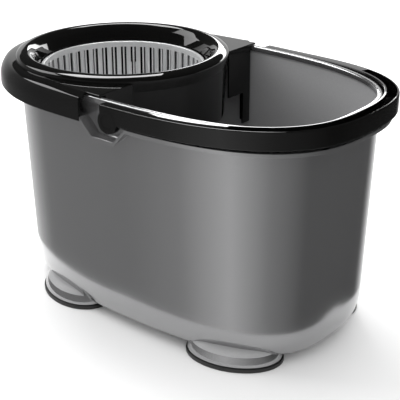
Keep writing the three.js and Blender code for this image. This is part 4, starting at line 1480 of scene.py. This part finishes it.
    def drum(self) -> bpy.types.Object:
        """The drum: a round wall held inside the bucket, a step, and a bowl with drains."""
        angles = np.linspace(0, TURN, ROUND_STEPS, endpoint=False)
        limits = self.envelope(angles, self.insert_inset)
        bowl_top, bowl_foot, bottom = self.bowl[0], self.bowl[1], self.bowl_bottom
        wall = self.cover_wall
        rings = []
        for angle, limit in zip(angles, limits):
            top = min(self.drum_radius, limit)
            step = top - 1.0
            corners = [
                (self.spindle_hole, bottom, 0.0),
                (bowl_foot, bottom, 9.0),
                (bowl_top, self.step, 1.5),
                (step, self.step, self.step_round),
                (top, self.drum_top, 0.5),
                (top - wall, self.drum_top, 0.5),
                (step - wall, self.step + wall, self.step_round - wall),
                (bowl_top - wall, self.step + wall, 1.5),
                (bowl_foot - wall, bottom + wall, 7.0),
                (self.pedestal[0], bottom + wall, 1.0),
                (self.pedestal[0] - 0.3, self.pedestal[1], 0.4),
                (self.spindle_hole, self.pedestal[1], 0.0),
            ]
            rings.append(spoke(self.axis, angle, filleted(corners, 6)))
        return lofted("wringer_drum_moulding", np.array(rings), True)

    def screws(self) -> bpy.types.Object:
        """The four pan-head screws under the drum's step, set by their CAD places."""
        nodes = [f"drum_screw_{i}" for i in range(1, 5)]
        spans = [Span.of(node) for node in nodes]
        first = spans[0]
        item = PanScrew().body(first.size(0) / 2, first.low[2], first.high[2])
        data = bpy.data.meshes.new("drum_screws")
        data.from_pydata([(s.middle(0) * MM, s.middle(1) * MM, 0.0) for s in spans], [], [])
        host = linked("drum_screws", data)
        place_array_tree().baked(host, {"Item": item, "Material": TURNED_STEEL.material()})
        bpy.data.objects.remove(item)
        return shown(host, TURNED_STEEL, "wringer", *nodes)

    def build(self, array: RingArray) -> None:
        """Makes the cover, the drum and the steel.

        Args:
            array: Sets the drains round the axis.
        """
        cover = combined(self.ring(), [self.plate(), self.skirt(), *self.cheeks()], Join.ADD)
        shown(cover, GLOSS_BLACK, "wringer", "wringer_cover")
        drum = self.drum()
        (near, far), half, floor = self.drain_reach, self.drain_half, self.bowl_bottom
        cutter = block("drain", (near, -half, floor - 2), (far, half, floor + 4))
        start = math.pi / self.drains
        drains = array.of("drains", cutter, self.drains, start, GLOSS_BLACK)
        combined(drum, [drains], Join.CUT)
        shown(drum, GLOSS_BLACK, "wringer", "wringer_drum")
        self.screws()
        nuts = ("spindle_lower_nut", "spindle_upper_nut")
        for node in ("spindle", *nuts, "thrust_washer", "retaining_washer"):
            carried(node, TURNED_STEEL)


# ---- basket ----------------------------------------------------------------------------------
@dataclass
class Basket:
    """The silver basket: a slotted wall, a drained floor and the hub."""

    axis: tuple[float, float]
    radius: float = 91.0
    taper: float = 2.0
    wall: float = 1.8
    flange: float = 1.6
    flange_thick: float = 2.2
    band: float = 251.0
    pairs: int = 48
    bar_width: float = 5.2
    rib_width: float = 1.9
    bar_crown: float = 0.35
    rib_crown: float = 0.25
    key_angle: float = 126.0
    short_rib_from: float = 234.0
    web_width: float = 1.2
    web_top: float = 232.0
    web_crown: float = 0.1
    web_spread: float = 0.86
    floor_drains: int = 12
    drain_reach: tuple[float, float] = (38.0, 78.0)
    drain_half: float = 2.5
    hub_base: float = 26.0
    hub_top: float = 15.0
    hub_height: float = 34.0
    bush_hole: float = 9.4
    nut_well: float = 9.5
    nut_well_depth: float = 7.4

    def __post_init__(self) -> None:
        """Reads the heights from the frame."""
        span = Span.of("basket")
        self.bottom, self.top = span.low[2], span.high[2]
        self.foot = self.bottom + 8.0

    def radius_at(self, z: float) -> float:
        """The wall's outer radius at a height."""
        return self.radius - self.taper * (self.top - z) / (self.top - self.bottom)

    def upper_band(self) -> bpy.types.Object:
        """The solid band with its flange over the slots."""
        low = self.band
        r0, r1 = self.radius_at(low), self.radius
        out = r1 + self.flange
        corners = [
            (r0, low, 0.2),
            (r1, self.top - self.flange_thick, 0.3),
            (out, self.top - self.flange_thick, 0.4),
            (out, self.top, 0.8),
            (r1 - self.wall, self.top, 0.8),
            (r0 - self.wall, low, 0.2),
        ]
        return turned("basket_moulding", filleted(corners), self.axis, 192)

    def pan(self) -> bpy.types.Object:
        """The floor with its rounded corner and the hub's cone."""
        foot, bottom = self.foot + 1.0, self.bottom
        r = self.radius_at(bottom)
        hub_z = bottom + self.hub_height
        seat = hub_z - self.nut_well_depth
        corners = [
            (self.bush_hole, bottom, 0.0),
            (r, bottom, 7.0),
            (self.radius_at(foot), foot, 0.2),
            (self.radius_at(foot) - self.wall, foot, 0.2),
            (r - self.wall, bottom + self.wall, 5.5),
            (self.hub_base, bottom + self.wall, 3.0),
            (self.hub_top, hub_z, 1.0),
            (self.nut_well, hub_z, 0.3),
            (self.nut_well, seat, 0.0),
            (self.bush_hole, seat, 0.0),
        ]
        return turned("pan", filleted(corners, 6), self.axis, 192)

    def bar(
        self, name: str, width: float, low: float, high: float, crown: float
    ) -> bpy.types.Object:
        """An upright bar of the wall, crowned inwards, standing off the origin along +X.

        Args:
            name: The object's name.
            width: Its width round the basket.
            low: Its lowest height.
            high: Its highest height.
            crown: How far its inner face bulges in.

        Returns:
            The new object.
        """
        rings = []
        for z in (low, high):
            outer = self.radius_at(z)
            ys = np.linspace(-0.5, 0.5, 7) * width
            inner = [(outer - self.wall - crown * (1 - (2 * y / width) ** 2), y) for y in ys]
            ring = [(outer, -width / 2), *inner, (outer, width / 2)]
            rings.append([(x, y, z) for x, y in ring])
        return lofted(name, np.array(rings), False, 40.0)

    def key_guide(self) -> list[bpy.types.Object]:
        """Two webs below one short rib, which narrow its pair of slots to one."""
        made = []
        pitch = TURN / self.pairs * self.radius
        for side in (-1, 1):
            web = self.bar("web", self.web_width, self.foot - 1, self.web_top, self.web_crown)
            data = np.array([v.co for v in web.data.vertices])
            data[:, 1] += side * (pitch - self.bar_width) / 2 * MM * self.web_spread
            web.data.vertices.foreach_set("co", data.ravel())
            made.append(web)
        return made

    def build(self, array: RingArray) -> None:
        """Makes the basket and dresses what sits on its hub.

        Args:
            array: Sets the bars, the ribs and the drains round the axis.
        """
        start, step = math.radians(self.key_angle), TURN / self.pairs
        low, high = self.foot - 1, self.band + 1
        bar = self.bar("bar", self.bar_width, low, high, self.bar_crown)
        rib = self.bar("rib", self.rib_width, low, high, self.rib_crown)
        stub = self.bar("rib", self.rib_width, self.short_rib_from, high, self.rib_crown)
        bars = array.of("bars", bar, self.pairs, start + step / 2, SILVER_PLASTIC)
        ribs = array.of("ribs", rib, self.pairs - 1, start + step, SILVER_PLASTIC)
        short = array.of("short_rib", stub, 1, start, SILVER_PLASTIC)
        webs = [array.of("webs", web, 1, start, SILVER_PLASTIC) for web in self.key_guide()]
        pan = self.pan()
        (near, far), half = self.drain_reach, self.drain_half
        cutter = block("drain", (near, -half, self.bottom - 2), (far, half, self.bottom + 5))
        first = math.pi / self.floor_drains
        drains = array.of("drains", cutter, self.floor_drains, first, SILVER_PLASTIC)
        combined(pan, [drains], Join.CUT)
        basket = combined(self.upper_band(), [pan, bars, ribs, short, *webs], Join.ADD)
        shown(basket, SILVER_PLASTIC, "basket", "basket")
        self.cap()
        for node in ("lower_bush", "upper_bush"):
            carried(node, ACETAL)

    def cap(self) -> None:
        """The domed cap on the hub."""
        span = Span.of("basket_hub_cap")
        low, high, r = span.low[2], span.high[2], span.size(0) / 2
        corners = [
            (0.0, high, 0.0),
            (5.5, high, 3.0),
            (r - 3.5, low + 5, 4.0),
            (r, low + 2.2, 1.0),
            (r, low, 0.3),
            (9.5, low, 0.3),
            (8.4, low + 4, 0.5),
            (6.0, high - 5, 2.0),
            (0.0, high - 3.5, 0.0),
        ]
        cap = turned("hub_cap", filleted(corners, 6), self.axis, 96)
        shown(cap, SILVER_PLASTIC, "basket", "basket_hub_cap")


# ---- studio ----------------------------------------------------------------------------------
@dataclass
class Studio:
    """The floor, the surroundings, the lights and the camera."""

    plan: Plan
    azimuth: float = 39.7
    elevation: float = 23.66
    distance: float = 1.1941
    aim: tuple[float, float, float] = (0.0196, 0.0, 0.1183)
    lens: float = 95.5
    curtain_gap: float = 40.0
    curtain_height: float = 300.0
    curtain_levels: tuple[tuple[float, float], ...] = (
        (-180.0, 0.9),
        (-165.0, 0.7),
        (-148.0, 0.22),
        (-95.0, 0.22),
        (-68.0, 0.34),
        (-46.0, 0.8),
        (-30.0, 0.3),
        (-12.0, 0.05),
        (26.0, 0.05),
        (36.0, 0.9),
        (180.0, 0.9),
    )

    def floor(self) -> None:
        """A wide pale floor."""
        bpy.ops.mesh.primitive_plane_add(size=12.0)
        floor = bpy.context.object
        floor.name = "floor"
        made = bpy.data.materials.new("pale_floor")
        made.use_nodes = True
        shader = made.node_tree.nodes["Principled BSDF"]
        shader.inputs["Base Color"].default_value = (0.97, 0.97, 0.97, 1.0)
        shader.inputs["Roughness"].default_value = 0.7
        shader.inputs["Specular IOR Level"].default_value = 0.1
        floor.data.materials.append(made)

    def curtain_glow(self) -> bpy.types.Material:
        """The curtain's glow, whose level follows the bearing from the origin.

        Returns:
            The material.
        """
        made = bpy.data.materials.new("grey_curtain")
        made.use_nodes = True
        tree = made.node_tree
        tree.nodes.clear()
        place = add_node(tree, "ShaderNodeTexCoord").outputs["Object"]
        x, y, _ = add_node(tree, "ShaderNodeSeparateXYZ", {0: place}).outputs
        bearing = add_node(tree, "ShaderNodeMath", {0: y, 1: x}, operation="ARCTAN2").outputs[0]
        turn = {"Value": bearing, "From Min": -math.pi, "From Max": math.pi}
        share = add_node(tree, "ShaderNodeMapRange", turn).outputs[0]
        ramp = add_node(tree, "ShaderNodeValToRGB", {0: share})
        stops = [((degrees + 180) / 360, level) for degrees, level in self.curtain_levels]
        first, last = ramp.color_ramp.elements
        (first.position, low), (last.position, high) = stops[0], stops[-1]
        first.color, last.color = (low, low, low, 1.0), (high, high, high, 1.0)
        for position, level in stops[1:-1]:
            ramp.color_ramp.elements.new(position).color = (level, level, level, 1.0)
        glow = add_node(tree, "ShaderNodeEmission", {"Color": ramp.outputs[0]}).outputs[0]
        add_node(tree, "ShaderNodeOutputMaterial", {"Surface": glow})
        return made

    def curtain(self) -> None:
        """A glowing curtain close round the bucket, which only reflections see."""
        turns = self.plan.even_turns(0, TURN, 120)[:-1]
        xy = self.plan.points(turns, self.curtain_gap)[:, :2]
        low = np.column_stack([xy, np.full(len(xy), 1.0)])
        high = np.column_stack([xy, np.full(len(xy), self.curtain_height)])
        faces = grid_faces(2, len(xy), False, True, False)
        data = bpy.data.meshes.new("curtain")
        data.from_pydata((np.concatenate([low, high]) * MM).tolist(), [], faces)
        curtain = linked("curtain", data)
        data.materials.append(self.curtain_glow())
        for seen in ("camera", "diffuse", "transmission", "volume_scatter", "shadow"):
            setattr(curtain, f"visible_{seen}", False)

    def world(self, diffuse: float = 1.0, glossy: float = 0.05) -> None:
        """An even sky that is bright for soft light and dim in reflections."""
        world = bpy.data.worlds.new("studio")
        bpy.context.scene.world = world
        world.use_nodes = True
        tree = world.node_tree
        mirrored = add_node(tree, "ShaderNodeLightPath").outputs["Is Glossy Ray"]
        levels = {"Value": mirrored, "To Min": diffuse, "To Max": glossy}
        strength = add_node(tree, "ShaderNodeMapRange", levels).outputs[0]
        sky = {"Strength": strength, "Color": (1.0, 1.0, 1.0, 1.0)}
        feed(tree, tree.nodes["Background"], sky)

    def light(
        self,
        name: str,
        place: Sequence[float],
        target: Sequence[float],
        size: tuple[float, float],
        power: float,
    ) -> None:
        """A rectangular soft light.

        Args:
            name: Its name.
            place: Where it stands, in metres.
            target: What it points at, in metres.
            size: Its width and height in metres.
            power: Its power in watts.
        """
        data = bpy.data.lights.new(name, "AREA")
        data.shape, data.energy = "RECTANGLE", power
        data.size, data.size_y = size
        lamp = linked(name, data)
        lamp.location = place
        lamp.rotation_euler = (Vector(target) - Vector(place)).to_track_quat("-Z", "Y").to_euler()

    def camera(self) -> None:
        """The camera, a fixed way round and above the bucket."""
        a, e = math.radians(self.azimuth), math.radians(self.elevation)
        back = Vector((math.sin(a) * math.cos(e), -math.cos(a) * math.cos(e), math.sin(e)))
        data = bpy.data.cameras.new("camera")
        data.lens = self.lens
        camera = linked("camera", data)
        camera.location = Vector(self.aim) + back * self.distance
        camera.rotation_euler = (-back).to_track_quat("-Z", "Y").to_euler()
        bpy.context.scene.camera = camera

    def build(self) -> None:
        """Sets the whole studio up."""
        self.floor()
        self.curtain()
        self.world()
        self.light("overhead", (-0.6, 0.35, 1.45), (0.0, 0.0, 0.25), (0.9, 0.45), 16.0)
        self.light("left", (-1.5, -0.5, 1.3), (-0.1, 0.0, 0.2), (0.9, 1.1), 14.0)
        self.light("rear", (-0.5, 1.6, 0.75), (0.05, 0.0, 0.25), (1.6, 0.25), 10.0)
        self.camera()
        settings = bpy.context.scene.view_settings
        settings.view_transform, settings.look = "Standard", "None"


def main() -> None:
    """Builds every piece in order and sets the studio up."""
    logging.basicConfig(level=logging.INFO, format="%(name)s %(message)s")
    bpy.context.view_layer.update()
    loft = PlanLoft(Plan.from_frame())
    bucket = Bucket(loft)
    bucket.build()
    Handle(loft, bucket).build()
    wringer = Wringer(loft)
    array = RingArray(wringer.axis)
    wringer.build(array)
    Basket(wringer.axis).build(array)
    Studio(loft.plan).build()


if __name__ == "__main__":
    main()
